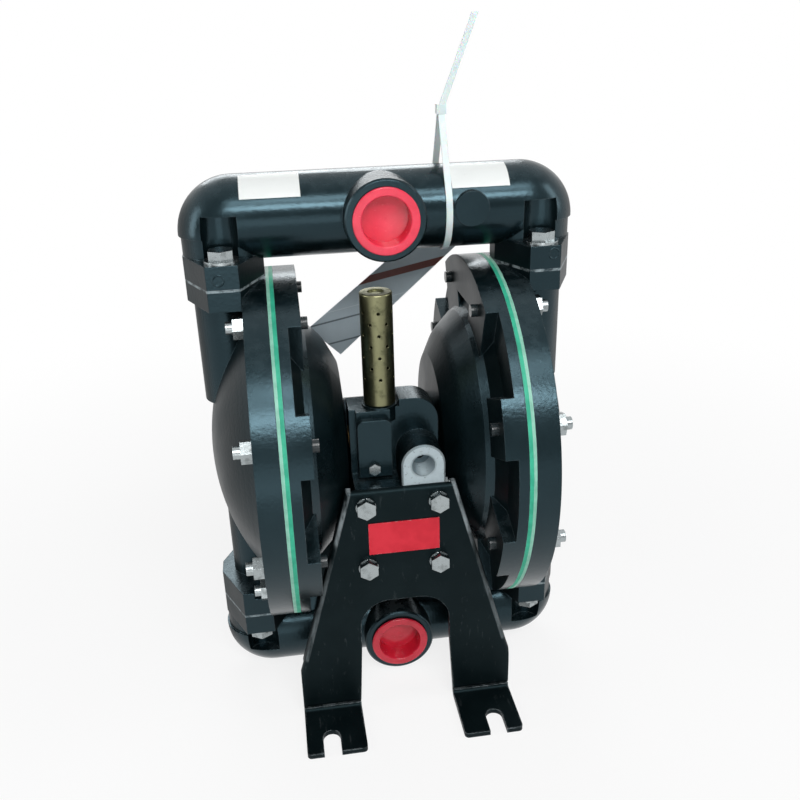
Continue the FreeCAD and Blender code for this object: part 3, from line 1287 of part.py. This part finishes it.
made["rod_bushings"] = sleeves("rod_bushings", "core_half - 2 - bushing_len", "bushing_len")
made["rod_seals"] = sleeves("rod_seals", "seal_len", "seal_len")
made["pilot_pin"] = pilot_pin("pilot_pin")
made["valve_sleeve"] = valve_sleeve("valve_sleeve")
made["valve_spool"] = valve_spool("valve_spool")
made["valve_end_caps"] = valve_end_caps("valve_end_caps")
made["nameplate"] = nameplate("nameplate")
made["left_label"] = pipe_label("left_label", "-label_left_x")
made["right_label"] = pipe_label("right_label", "label_right_x")
made["ground_screw"] = ground_screw("ground_screw")
made["cable_tie"] = cable_tie("cable_tie")
made["hang_tag"] = hang_tag("hang_tag")
doc.recompute()


# Checks and export

faults = []
for thing in doc.Objects:
    if "Invalid" in thing.State or "Error" in thing.State:
        faults.append(f"{thing.Name}: {thing.State}")
for node, thing in made.items():
    if thing.Shape.isNull() or not thing.Shape.isValid() or not thing.Shape.Solids:
        faults.append(f"{node}: no valid solid")
if faults:
    raise ValueError("; ".join(faults))
os.makedirs("parts", exist_ok=True)
for node, thing in made.items():
    thing.Shape.exportStep(f"parts/{node}.step")
print(len(made), "nodes written")
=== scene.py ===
import math

import bpy
from mathutils import Matrix, Vector

# Looks of the diaphragm pump, in metres. X runs along the rod, the ports face -Y, Z is up.

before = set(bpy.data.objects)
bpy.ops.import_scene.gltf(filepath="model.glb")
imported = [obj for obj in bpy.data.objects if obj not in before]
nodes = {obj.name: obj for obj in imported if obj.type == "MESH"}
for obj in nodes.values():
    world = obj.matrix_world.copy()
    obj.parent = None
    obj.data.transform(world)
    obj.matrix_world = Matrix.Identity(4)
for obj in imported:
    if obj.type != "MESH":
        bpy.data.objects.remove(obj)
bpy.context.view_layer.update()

# Heights: the rod's axis, the two ports, and the joints between caps and manifolds, along which a pale
# highlight line is painted.
AXIS_Z = 0.251
PORT_RISE = 0.213
PORT_Z = AXIS_Z + PORT_RISE
PORT_LOW_Z = AXIS_Z - PORT_RISE
JOINT_RISE = 0.163
JOINT_HIGHLIGHT_HALF = 0.0011

# X and Z of the rings cast in the upper pads, and the depth at which the pad fronts begin.
PAD_MARKS = ((-0.140, AXIS_Z + 0.172), (0.144, AXIS_Z + 0.177))
PAD_FRONT_Y = -0.052

# The air inlet in its lug on the centre body.
INLET_X, INLET_Z, INLET_RADIUS = 0.0205, 0.258, 0.0112
LUG_FRONT_Y, LUG_BACK_Y, INLET_END_Y = -0.0945, -0.0923, -0.0700
LUG_LOW_Z = 0.2395
LUG_X = (-0.002, 0.0405)
THREAD_PITCH = 0.0014

# The stand: its legs widen downwards by LEG_TAPER, and LIP is the bend along their sides, where a highlight
# is painted.
LEG_TAPER = 0.2738
LIP = (0.1105, 0.1140)
RUB_PLACE = (0.0905, -0.097, 0.128)

# Plug recess, end of the cap paint on the studs, and the toothed side of the tie.
RECESS_RADIUS = 0.0206
STUD_PAINTED_X = 0.0765
TIE_TEETH_X = (0.0545, 0.0575)
TIE_TOOTH = 0.0014


# Node helpers

class Paint:
    """Builds the nodes of one material. Places are in metres, in the row frame at rest."""

    def __init__(self, name, **uniform):
        self.material = bpy.data.materials.new(name)
        self.material.use_nodes = True
        self.tree = self.material.node_tree
        self.shader = self.tree.nodes["Principled BSDF"]
        self.place = self.make("TexCoord").outputs["Object"]
        for socket, value in uniform.items():
            self.shader.inputs[socket.replace("_", " ")].default_value = value

    def make(self, kind, **settings):
        made = self.tree.nodes.new("ShaderNode" + kind)
        for key, value in settings.items():
            setattr(made, key, value)
        return made

    def feed(self, socket, value):
        if isinstance(value, bpy.types.NodeSocket):
            self.tree.links.new(value, socket)
        elif isinstance(value, tuple) and socket.type == "RGBA":
            socket.default_value = (*value, 1)
        else:
            socket.default_value = value

    def noise(self, scale, detail=3, rough=0.5, place=None):
        made = self.make("TexNoise")
        self.feed(made.inputs["Vector"], place or self.place)
        self.feed(made.inputs["Scale"], scale)
        self.feed(made.inputs["Detail"], detail)
        self.feed(made.inputs["Roughness"], rough)
        return made.outputs["Fac"]

    def stretched(self, x, y, z):
        """The place with each axis scaled, for streaks and brushing."""
        made = self.make("Mapping")
        self.feed(made.inputs["Vector"], self.place)
        made.inputs["Scale"].default_value = (x, y, z)
        return made.outputs["Vector"]

    def calc(self, how, a, b=0.0, c=0.0):
        made = self.make("Math", operation=how)
        for socket, value in zip(made.inputs, (a, b, c)):
            self.feed(socket, value)
        return made.outputs[0]

    def spread(self, value, low, high, first=0.0, last=1.0):
        """Value from low to high becomes first to last, held at both ends."""
        made = self.make("MapRange", interpolation_type="SMOOTHSTEP")
        for socket, number in zip(made.inputs, (value, low, high, first, last)):
            self.feed(socket, number)
        return made.outputs[0]

    def axis(self, name, place=None):
        made = self.make("SeparateXYZ")
        self.feed(made.inputs[0], place or self.place)
        return made.outputs[name]

    def along(self, start, direction):
        """Distance from a start point along a direction."""
        apart = self.make("VectorMath", operation="SUBTRACT")
        self.feed(apart.inputs[0], self.place)
        apart.inputs[1].default_value = start
        made = self.make("VectorMath", operation="DOT_PRODUCT")
        self.feed(made.inputs[0], apart.outputs[0])
        made.inputs[1].default_value = Vector(direction).normalized()
        return made.outputs["Value"]

    def from_point(self, point):
        made = self.make("VectorMath", operation="DISTANCE")
        self.feed(made.inputs[0], self.place)
        made.inputs[1].default_value = point
        return made.outputs["Value"]

    def from_line(self, **centre):
        """Distance from a line along one axis, given by its place on the other two."""
        apart = [self.calc("SUBTRACT", self.axis(axis), place) for axis, place in centre.items()]
        return self.calc("SQRT", self.calc("ADD", *[self.calc("MULTIPLY", a, a) for a in apart]))

    def within(self, value, low, high, soft):
        """1 between low and high, fading over soft."""
        rise = self.spread(value, low - soft, low + soft)
        fall = self.spread(value, high - soft, high + soft, 1.0, 0.0)
        return self.calc("MULTIPLY", rise, fall)

    def both(self, *masks):
        made = masks[0]
        for mask in masks[1:]:
            made = self.calc("MULTIPLY", made, mask)
        return made

    def either(self, *masks):
        made = masks[0]
        for mask in masks[1:]:
            made = self.calc("MAXIMUM", made, mask)
        return made

    def blend(self, share, a, b):
        made = self.make("Mix", data_type="RGBA")
        self.feed(made.inputs[0], share)
        self.feed(made.inputs[6], a)
        self.feed(made.inputs[7], b)
        return made.outputs[2]

    def level(self, share, a, b):
        made = self.make("Mix", data_type="FLOAT")
        self.feed(made.inputs[0], share)
        self.feed(made.inputs[2], a)
        self.feed(made.inputs[3], b)
        return made.outputs[0]

    def round_normal(self, radius):
        made = self.make("Bevel", samples=4)
        made.inputs["Radius"].default_value = radius
        return made.outputs[0]

    def edges(self, radius):
        """1 on corners and edges of the shape, where paint wears."""
        face = self.make("NewGeometry").outputs["True Normal"]
        made = self.make("VectorMath", operation="DOT_PRODUCT")
        self.feed(made.inputs[0], self.round_normal(radius))
        self.feed(made.inputs[1], face)
        return self.spread(made.outputs["Value"], 0.80, 0.985, 1.0, 0.0)

    def facing(self, name):
        """The part of the surface normal that points along one axis."""
        normal = self.make("NewGeometry").outputs["True Normal"]
        return self.axis(name, normal)

    def relief(self, height, distance, normal=None):
        made = self.make("Bump")
        made.inputs["Distance"].default_value = distance
        made.inputs["Strength"].default_value = 1.0
        self.feed(made.inputs["Height"], height)
        if normal is not None:
            self.feed(made.inputs["Normal"], normal)
        return made.outputs[0]

    def finish(self, colour=None, rough=None, normal=None, metal=None):
        for socket, value in (
                ("Base Color", colour), ("Roughness", rough), ("Normal", normal), ("Metallic", metal)):
            if value is not None:
                self.feed(self.shader.inputs[socket], value)
        return self.material


# Finishes

def enamel(name, wear=0.45, lug=False):
    """Semi-gloss black enamel over a cast skin: worn on its edges, duller on faces along X, with
    dust settled on top. With lug, the air inlet's lug shows primer and its bore shows threads."""
    paint = Paint(name)
    paint.shader.inputs["Specular Tint"].default_value = (0.50, 0.84, 1.0, 1)
    clouds = paint.noise(22, 4)
    peel = paint.noise(330, 2, 0.4)
    grit = paint.noise(1500, 2)
    worn = paint.both(paint.edges(0.0011), paint.spread(paint.noise(90, 4, 0.6), 0.42, 0.66))
    dust = paint.both(
        paint.spread(paint.facing("Z"), 0.35, 0.95), paint.spread(paint.noise(60, 5, 0.65), 0.40, 0.72))
    dark = paint.blend(paint.spread(clouds, 0.35, 0.65), (0.0012, 0.0036, 0.0044), (0.0028, 0.0066, 0.0078))
    colour = paint.blend(paint.calc("MULTIPLY", dust, 0.35), dark, (0.040, 0.054, 0.060))
    off_axis = paint.calc("ABSOLUTE", paint.calc("SUBTRACT", paint.axis("Z"), AXIS_Z))
    side = paint.calc("ABSOLUTE", paint.axis("X"))
    # Painted highlight: a pale line along the joints between the caps and the manifold pads, in place of
    # the light their rounded edges would catch.
    joint_highlight = paint.both(
        paint.within(off_axis, JOINT_RISE - JOINT_HIGHLIGHT_HALF, JOINT_RISE + JOINT_HIGHLIGHT_HALF, 0.0004),
        paint.spread(side, 0.100, 0.104), paint.spread(paint.noise(130, 5, 0.7), 0.36, 0.58))
    colour = paint.blend(paint.calc("MULTIPLY", worn, wear), colour, (0.15, 0.18, 0.19))
    colour = paint.blend(paint.calc("MULTIPLY", joint_highlight, 0.8), colour, (0.34, 0.40, 0.42))
    dull = paint.spread(paint.calc("ABSOLUTE", paint.facing("X")), 0.55, 0.92)
    paint.feed(paint.shader.inputs["Specular IOR Level"], paint.level(dull, 0.52, 0.12))
    rough = paint.level(paint.spread(clouds, 0.30, 0.70), 0.19, 0.26)
    rough = paint.calc("ADD", rough, paint.calc("MULTIPLY", dust, 0.12))
    rough = paint.calc("ADD", rough, paint.calc("MULTIPLY", dull, 0.16))
    height = paint.calc("ADD", paint.calc("MULTIPLY", peel, 0.75), paint.calc("MULTIPLY", grit, 0.18))
    marks = [paint.within(paint.from_line(X=x, Z=z), 0.0040, 0.0050, 0.0003) for x, z in PAD_MARKS]
    on_front = paint.spread(paint.axis("Y"), PAD_FRONT_Y, PAD_FRONT_Y + 0.002, 1.0, 0.0)
    marks = paint.both(paint.either(*marks), on_front)
    height = paint.calc("ADD", height, paint.calc("MULTIPLY", marks, 2.4))
    normal = paint.relief(height, 0.00015, paint.round_normal(0.0011))
    metallic = 0.0
    if lug:
        pale_share = paint.both(
            paint.within(paint.axis("Y"), LUG_FRONT_Y, LUG_BACK_Y, 0.0002),
            paint.spread(paint.axis("Z"), LUG_LOW_Z, LUG_LOW_Z + 0.0005),
            paint.spread(paint.facing("Y"), -0.85, -0.55, 1.0, 0.0),
            paint.within(paint.axis("X"), *LUG_X, 0.0003))
        bore = paint.both(
            paint.within(paint.axis("Y"), LUG_FRONT_Y, INLET_END_Y, 0.0002),
            paint.spread(
                paint.from_line(X=INLET_X, Z=INLET_Z), INLET_RADIUS, INLET_RADIUS + 0.0004, 1.0, 0.0))
        pale_share = paint.either(pale_share, bore)
        speck = paint.spread(paint.noise(420, 5, 0.7), 0.60, 0.68)
        primer = paint.blend(paint.noise(160, 5, 0.7), (0.36, 0.43, 0.46), (0.52, 0.60, 0.63))
        primer = paint.blend(speck, primer, (0.08, 0.09, 0.10))
        threads = paint.calc("SINE", paint.calc("MULTIPLY", paint.axis("Y"), 2 * math.pi / THREAD_PITCH))
        colour = paint.blend(pale_share, colour, primer)
        rough = paint.level(pale_share, rough, 0.48)
        metallic = paint.calc("MULTIPLY", bore, 0.85)
        normal = paint.relief(paint.calc("MULTIPLY", threads, bore), 0.0005, normal)
    return paint.finish(colour, rough, normal, metallic)


def bracket_paint(name):
    """Satin black on bent plate, with a painted highlight along the bends of the side lips, worn bright on
    its edges and scuffed where the feet are dragged.
    """
    paint = Paint(name, Specular_IOR_Level=0.15)
    paint.shader.inputs["Specular Tint"].default_value = (0.52, 0.88, 1.0, 1)
    clouds = paint.noise(30, 4)
    grain = paint.noise(1300, 2)
    scratch = paint.spread(paint.noise(26, 6, 0.75, paint.stretched(9, 1.5, 2.2)), 0.60, 0.66)
    edge = paint.both(paint.edges(0.0009), paint.spread(paint.noise(140, 4, 0.6), 0.38, 0.58))
    low = paint.both(paint.spread(paint.axis("Z"), 0.004, 0.040, 1.0, 0.0), paint.edges(0.0026))
    scuff = paint.both(low, paint.spread(paint.noise(75, 6, 0.7), 0.42, 0.60))
    # Painted highlight along the bends of the side lips, brighter on their upper part.
    bend_highlight = paint.calc(
        "ADD", paint.calc("ABSOLUTE", paint.axis("X")), paint.calc("MULTIPLY", paint.axis("Z"), LEG_TAPER))
    bend_highlight = paint.both(
        paint.within(bend_highlight, *LIP, 0.0006), paint.spread(paint.axis("Z"), 0.062, 0.066),
        paint.spread(paint.noise(70, 5, 0.65, paint.stretched(1, 1, 0.25)), 0.34, 0.60))
    upper_bend_highlight = paint.both(bend_highlight, paint.spread(paint.axis("Z"), 0.183, 0.190))
    rub = paint.both(
        paint.spread(paint.from_point(RUB_PLACE), 0.006, 0.017, 1.0, 0.0),
        paint.spread(paint.noise(210, 4, 0.6), 0.35, 0.55))
    # Paler share: worn bare steel on edges, feet, the rubbed spot and scratches, plus the painted highlight
    # along the lips.
    pale_share = paint.either(
        paint.calc("MULTIPLY", edge, 0.75), paint.calc("MULTIPLY", scuff, 0.45), rub,
        paint.calc("MULTIPLY", scratch, 0.05), paint.calc("MULTIPLY", bend_highlight, 0.30),
        paint.calc("MULTIPLY", upper_bend_highlight, 0.85))
    dark = paint.blend(paint.spread(clouds, 0.35, 0.65), (0.0012, 0.0030, 0.0036), (0.0026, 0.0052, 0.0060))
    colour = paint.blend(pale_share, dark, (0.33, 0.38, 0.40))
    rough = paint.level(pale_share, paint.level(clouds, 0.36, 0.46), 0.40)
    height = paint.calc("ADD", paint.calc("MULTIPLY", grain, 0.4), paint.calc("MULTIPLY", pale_share, -0.5))
    return paint.finish(colour, rough, paint.relief(height, 0.00025, paint.round_normal(0.0009)))


def metal(name, light, dark, rough, streak=(1, 1, 1), grain=600, edge=0.0004, stain=0.35, painted=None):
    """Bare or plated metal, with fine machining marks, stains and slightly softened edges.
    Nearer the middle than painted, along the rod, the cap paint covers it."""
    paint = Paint(name)
    marks = paint.noise(grain, 3, 0.6, paint.stretched(*streak))
    stains = paint.spread(paint.noise(130, 5, 0.65), 0.46, 0.70)
    edge_mask = paint.edges(edge)
    colour = paint.blend(paint.calc("MULTIPLY", stains, stain), light, dark)
    bright_edge = tuple(min(1, 1.25 * c) for c in light)
    colour = paint.blend(paint.calc("MULTIPLY", edge_mask, 0.35), colour, bright_edge)
    shine = paint.level(marks, rough - 0.07, rough + 0.07)
    shine = paint.calc("ADD", shine, paint.calc("MULTIPLY", stains, 0.14))
    bright = 1.0
    if painted is not None:
        bright = paint.spread(paint.calc("ABSOLUTE", paint.axis("X")), painted, painted + 0.0006)
        colour = paint.blend(bright, (0.012, 0.020, 0.023), colour)
    return paint.finish(colour, shine, paint.relief(marks, 0.00006, paint.round_normal(edge)), bright)


def moulded(name, light, dark, rough=0.3, port_z=None, **uniform):
    """Injection-moulded plastic: even colour with slight flow marks, a fine skin and scuffs. With
    port_z, the floor of the recess at that height catches light like a shallow dish."""
    depth, dish_rise = 0.0003, 14
    paint = Paint(name, **uniform)
    flow = paint.noise(55, 4, 0.6)
    skin = paint.noise(1100, 2)
    scuff = paint.spread(paint.noise(190, 6, 0.7, paint.stretched(1, 1, 3)), 0.62, 0.68)
    colour = paint.blend(paint.spread(flow, 0.35, 0.65), light, dark)
    pale = tuple(min(1.0, c + 0.25) for c in light)
    colour = paint.blend(paint.calc("MULTIPLY", scuff, 0.12), colour, pale)
    height = paint.calc("MULTIPLY", skin, 0.2)
    if port_z is not None:
        reach = paint.from_line(X=0.0, Z=port_z)
        reach = paint.calc("MINIMUM", reach, RECESS_RADIUS)
        dish = paint.calc("MULTIPLY", paint.calc("MULTIPLY", reach, reach), dish_rise / depth)
        height = paint.calc("ADD", height, dish)
    shine = paint.level(flow, rough - 0.04, rough + 0.05)
    shine = paint.calc("ADD", shine, paint.calc("MULTIPLY", scuff, 0.2))
    return paint.finish(colour, shine, paint.relief(height, depth, paint.round_normal(0.0005)))


def rubber(name, light, dark, edge_light=None, rough=0.55):
    """Moulded rubber or soft sheet, paler along its edges: worn there on the backup rubber, a painted
    highlight on the overlay.
    """
    paint = Paint(name, Specular_IOR_Level=0.35)
    mottled = paint.noise(85, 5, 0.65)
    fine = paint.noise(900, 3)
    colour = paint.blend(paint.spread(mottled, 0.35, 0.65), light, dark)
    if edge_light is not None:
        edge_wear_and_highlight = paint.both(paint.edges(0.0006), paint.spread(paint.noise(60, 4), 0.35, 0.6))
        colour = paint.blend(paint.calc("MULTIPLY", edge_wear_and_highlight, 0.8), colour, edge_light)
    shine = paint.level(mottled, rough - 0.06, rough + 0.08)
    return paint.finish(colour, shine, paint.relief(fine, 0.00012, paint.round_normal(0.0004)))


def film(name, light, dark):
    """Glossy label film, bare of print, with faint wrinkles and a dusty border."""
    paint = Paint(name, Specular_IOR_Level=0.5, Coat_Weight=0.25, Coat_Roughness=0.12)
    wrinkles = paint.noise(70, 3, 0.5, paint.stretched(0.6, 1, 1))
    grime = paint.spread(paint.noise(240, 5, 0.7), 0.56, 0.74)
    colour = paint.blend(paint.calc("MULTIPLY", grime, 0.16), light, dark)
    border = paint.edges(0.0014)
    colour = paint.blend(paint.calc("MULTIPLY", border, 0.35), colour, dark)
    shine = paint.level(wrinkles, 0.26, 0.38)
    return paint.finish(colour, shine, paint.relief(wrinkles, 0.0006))


def plate_enamel(name):
    """Red enamelled plate, bare of lettering, with fine brushing under the colour."""
    paint = Paint(name, Specular_IOR_Level=0.22)
    brushing = paint.noise(420, 3, 0.6, paint.stretched(0.15, 1, 4))
    clouds = paint.noise(45, 4)
    nick = paint.both(paint.edges(0.0006), paint.spread(paint.noise(260, 4), 0.50, 0.60))
    colour = paint.blend(paint.spread(clouds, 0.35, 0.65), (0.60, 0.018, 0.036), (0.70, 0.028, 0.050))
    colour = paint.blend(nick, colour, (0.62, 0.60, 0.58))
    shine = paint.level(brushing, 0.26, 0.38)
    return paint.finish(colour, shine, paint.relief(brushing, 0.00005, paint.round_normal(0.0004)))


def nylon(name):
    """Natural nylon strap: milky, with the small teeth of a cable tie."""
    paint = Paint(name, Subsurface_Weight=0.35, Subsurface_Scale=0.002, Specular_IOR_Level=0.5)
    milk = paint.noise(120, 3)
    colour = paint.blend(milk, (0.58, 0.68, 0.68), (0.72, 0.80, 0.80))
    teeth = paint.calc("SINE", paint.calc("MULTIPLY", paint.axis("Z"), 2 * math.pi / TIE_TOOTH))
    inside = paint.within(paint.axis("X"), *TIE_TEETH_X, 0.0003)
    height = paint.calc("MULTIPLY", teeth, inside)
    shine = paint.level(milk, 0.30, 0.42)
    return paint.finish(colour, shine, paint.relief(height, 0.00003, paint.round_normal(0.0006)))


def tag_print(name):
    """Laminated grey-blue strip with a red-brown band and thin dark rules, bare of lettering."""
    paint = Paint(name, Specular_IOR_Level=0.5, Coat_Weight=0.2, Coat_Roughness=0.15)
    lean, slope = math.radians(14), math.radians(12.5)
    tag_up = (-math.sin(slope), -math.sin(lean) * math.cos(slope), math.cos(lean) * math.cos(slope))
    rise = paint.along((0, 0, PORT_Z), tag_up)
    clouds = paint.noise(60, 5, 0.6)
    colour = paint.blend(clouds, (0.50, 0.60, 0.66), (0.60, 0.70, 0.76))
    colour = paint.blend(paint.calc("MULTIPLY", paint.edges(0.0010), 0.6), colour, (0.80, 0.88, 0.92))
    red_brown, dark, pale = (0.22, 0.085, 0.075), (0.060, 0.085, 0.105), (0.85, 0.92, 0.96)
    for place, width, share, ink in (
            (-0.0905, 0.0075, 1.0, red_brown), (-0.1235, 0.0018, 0.8, dark),
            (-0.1490, 0.0018, 0.8, dark), (-0.1120, 0.0008, 0.5, pale)):
        band = paint.within(rise, place, place + width, 0.0004)
        colour = paint.blend(paint.calc("MULTIPLY", band, share), colour, ink)
    return paint.finish(colour, paint.level(clouds, 0.24, 0.36), paint.relief(clouds, 0.0004))


ZINC = ((0.38, 0.42, 0.43), (0.16, 0.18, 0.18), 0.25)
SOFT_RED = {"Subsurface_Weight": 0.12, "Subsurface_Scale": 0.003}

black = enamel("cast_enamel")
centre_black = enamel("centre_enamel", lug=True)
bracket = bracket_paint("plate_paint")
zinc = metal("zinc_plate", *ZINC, stain=0.7)
stud = metal("stud_zinc", *ZINC, stain=0.7, painted=STUD_PAINTED_X)
washer = metal("turned_steel", (0.58, 0.59, 0.60), (0.36, 0.37, 0.38), 0.30, (1, 6, 6))
chrome = metal("ground_chrome", (0.74, 0.75, 0.77), (0.52, 0.53, 0.55), 0.12, (8, 1, 1))
bronze = metal("bearing_bronze", (0.62, 0.44, 0.20), (0.34, 0.22, 0.09), 0.30, (6, 1, 1))
brass = metal("olive_brass", (0.23, 0.23, 0.13), (0.10, 0.105, 0.06), 0.33, (1, 1, 0.3), 220, 0.0006, 0.7)
red_top = moulded("red_cap_high", (0.80, 0.036, 0.082), (0.72, 0.028, 0.066), 0.15, PORT_Z, **SOFT_RED)
# The lower plug's red is a darker copy of the upper plug's: painted shade for the plug sitting low under
# the pump.
red_low_shaded = moulded("red_cap_low_shaded", (0.64, 0.020, 0.048), (0.54, 0.014, 0.036), 0.15, PORT_LOW_Z, **SOFT_RED)
green = rubber("green_rubber", (0.036, 0.44, 0.27), (0.020, 0.32, 0.20), (0.30, 0.66, 0.54))
# The overlay's paler edge colour is a painted highlight along its rim.
white = rubber("white_fluoroplastic", (0.26, 0.56, 0.44), (0.18, 0.44, 0.33), (0.62, 0.84, 0.76), 0.42)
seal = rubber("black_rubber", (0.020, 0.020, 0.021), (0.032, 0.032, 0.033))
ball_white = moulded("ball_plastic", (0.78, 0.79, 0.77), (0.70, 0.71, 0.69), 0.32)
plate_red = plate_enamel("red_plate")
label = film("label_film", (0.80, 0.83, 0.82), (0.55, 0.57, 0.55))
tie = nylon("nylon_strap")
tag = tag_print("tag_laminate")

# Part of a node's name and its finish. The longest key found in a name decides.
FINISH = {
    "fluid_cap": black, "air_cap": black, "manifold": black, "exhaust_cover": black,
    "center_body": centre_black, "front_bracket": bracket, "rear_bracket": bracket, "bolts": zinc,
    "right_cap_bolts": stud, "left_cap_bolts": stud, "manifold_bolts": zinc, "exhaust_cover_screw": zinc,
    "air_cap_screws": zinc, "nuts": zinc, "screw": zinc, "lock_washers": zinc, "_washer": washer,
    "_seat": washer, "sleeve": washer,
    "diaphragm_rod": chrome, "pilot_pin": chrome, "valve_spool": chrome, "bushings": bronze,
    "valve_end_caps": bronze, "muffler": brass, "outlet_plug": red_top, "inlet_plug": red_low_shaded,
    "backup_diaphragm": green, "overlay_diaphragm": white, "seat_rings": white, "seals": seal,
    "_ball": ball_white, "nameplate": plate_red, "label": label, "cable_tie": tie, "hang_tag": tag,
}
for node, thing in nodes.items():
    match = max((key for key in FINISH if key in node), key=len)
    for slot in thing.material_slots:
        slot.link = "OBJECT"
        slot.material = FINISH[match]


# Floor, light and camera

def floor_disc(radius, rings, spokes):
    mesh = bpy.data.meshes.new("floor")
    places, faces = [(0, 0, 0)], []
    for ring in range(1, rings + 1):
        for spoke in range(spokes):
            turn = 2 * math.pi * spoke / spokes
            reach = radius * (ring / rings) ** 2
            places.append((reach * math.cos(turn), reach * math.sin(turn), 0))
    for spoke in range(spokes):
        after = (spoke + 1) % spokes
        faces.append((0, 1 + spoke, 1 + after))
        for ring in range(rings - 1):
            low, high = 1 + ring * spokes, 1 + (ring + 1) * spokes
            faces.append((low + spoke, high + spoke, high + after, low + after))
    mesh.from_pydata(places, [], faces)
    made = bpy.data.objects.new("floor", mesh)
    bpy.context.scene.collection.objects.link(made)
    return made


def seen_rays(tree):
    """1 on rays that show the backdrop: camera, glossy and transmission rays."""
    path = tree.nodes.new("ShaderNodeLightPath")
    total = path.outputs["Is Camera Ray"]
    for name in ("Is Glossy Ray", "Is Transmission Ray"):
        made = tree.nodes.new("ShaderNodeMath")
        made.operation = "MAXIMUM"
        tree.links.new(total, made.inputs[0])
        tree.links.new(path.outputs[name], made.inputs[1])
        total = made.outputs[0]
    return total


def room_level(tree):
    """1 for the camera. Glossy and transmission rays see it fall to 0.5 behind the camera."""
    dark_y, bright_y, dimmest = -0.55, 0.15, 0.5
    split = tree.nodes.new("ShaderNodeSeparateXYZ")
    tree.links.new(tree.nodes.new("ShaderNodeTexCoord").outputs["Generated"], split.inputs[0])
    dim = tree.nodes.new("ShaderNodeMapRange")
    for socket, number in zip(dim.inputs, (0, dark_y, bright_y, dimmest, 1.0)):
        socket.default_value = number
    tree.links.new(split.outputs["Y"], dim.inputs["Value"])
    made = tree.nodes.new("ShaderNodeMath")
    made.operation = "MAXIMUM"
    tree.links.new(dim.outputs[0], made.inputs[0])
    tree.links.new(tree.nodes.new("ShaderNodeLightPath").outputs["Is Camera Ray"], made.inputs[1])
    return made.outputs[0]


def floor_finish():
    """Pale floor that keeps the shadow near the object and turns plain white far from it."""
    paint = Paint("pale_floor")
    tree = paint.tree
    shadow_reach, white_from, least = 0.25, 1.2, 0.80
    diffuse = paint.make("BsdfDiffuse")
    pale = paint.blend(paint.noise(6, 4), (0.88, 0.885, 0.89), (0.91, 0.912, 0.915))
    paint.feed(diffuse.inputs["Color"], pale)
    plain = paint.make("Emission")
    far = paint.spread(paint.from_point((0, 0, 0)), shadow_reach, white_from, least, 1.0)
    share = paint.calc("MULTIPLY", far, seen_rays(tree))
    mix = paint.make("MixShader")
    paint.feed(mix.inputs[0], share)
    tree.links.new(diffuse.outputs[0], mix.inputs[1])
    tree.links.new(plain.outputs[0], mix.inputs[2])
    tree.links.new(mix.outputs[0], tree.nodes["Material Output"].inputs["Surface"])
    return paint.material


FLOOR_RADIUS, FLOOR_RINGS, FLOOR_SPOKES = 9, 12, 64
floor_disc(FLOOR_RADIUS, FLOOR_RINGS, FLOOR_SPOKES).data.materials.append(floor_finish())

DIFFUSE_SKY = 0.10
world = bpy.data.worlds.new("studio")
world.use_nodes = True
bpy.context.scene.world = world
sky = world.node_tree.nodes["Background"]
sky.inputs["Color"].default_value = (1, 1, 1, 1)
strength = world.node_tree.nodes.new("ShaderNodeMix")
strength.data_type = "FLOAT"
world.node_tree.links.new(seen_rays(world.node_tree), strength.inputs[0])
strength.inputs[2].default_value = DIFFUSE_SKY
world.node_tree.links.new(room_level(world.node_tree), strength.inputs[3])
world.node_tree.links.new(strength.outputs[0], sky.inputs["Strength"])


def lamp(name, place, aim, size, power):
    data = bpy.data.lights.new(name, "AREA")
    data.shape = "RECTANGLE"
    data.size, data.size_y = size
    data.energy = power
    made = bpy.data.objects.new(name, data)
    bpy.context.scene.collection.objects.link(made)
    made.location = place
    made.rotation_euler = (Vector(place) - Vector(aim)).to_track_quat("Z", "Y").to_euler()


lamp("key", (0.12, -1.55, 1.42), (0, 0, 0.36), (1.2, 0.30), 18)
lamp("high", (0.18, -1.02, 1.66), (0, 0, 0.36), (1.1, 0.34), 8)
lamp("low", (-0.25, -1.60, 0.28), (0, 0, 0.30), (1.0, 0.60), 2.2)
lamp("left", (-1.45, -0.25, 0.75), (0, 0, 0.25), (0.40, 1.0), 5.0)
lamp("right", (1.40, -0.45, 0.95), (0, 0, 0.25), (0.40, 1.0), 5.0)
lamp("back", (-0.10, 1.50, 1.25), (0, 0, 0.30), (1.4, 0.50), 12)

CAMERA_PLACE = (-0.0913, -0.7557, 0.6167)
PITCH, YAW, ROLL = 0.415, -0.139, -0.028
SENSOR_WIDTH, FOCAL_LENGTH = 36, 39.14
lens = bpy.data.cameras.new("camera")
lens.sensor_fit = "AUTO"
lens.sensor_width = SENSOR_WIDTH
lens.lens = FOCAL_LENGTH
lens.clip_start = 0.01
camera = bpy.data.objects.new("camera", lens)
bpy.context.scene.collection.objects.link(camera)
camera.matrix_world = (
    Matrix.Translation(CAMERA_PLACE) @ Matrix.Rotation(YAW, 4, "Z")
    @ Matrix.Rotation(math.pi / 2 - PITCH, 4, "X") @ Matrix.Rotation(ROLL, 4, "Z"))
bpy.context.scene.camera = camera
bpy.context.scene.view_settings.view_transform = "Standard"
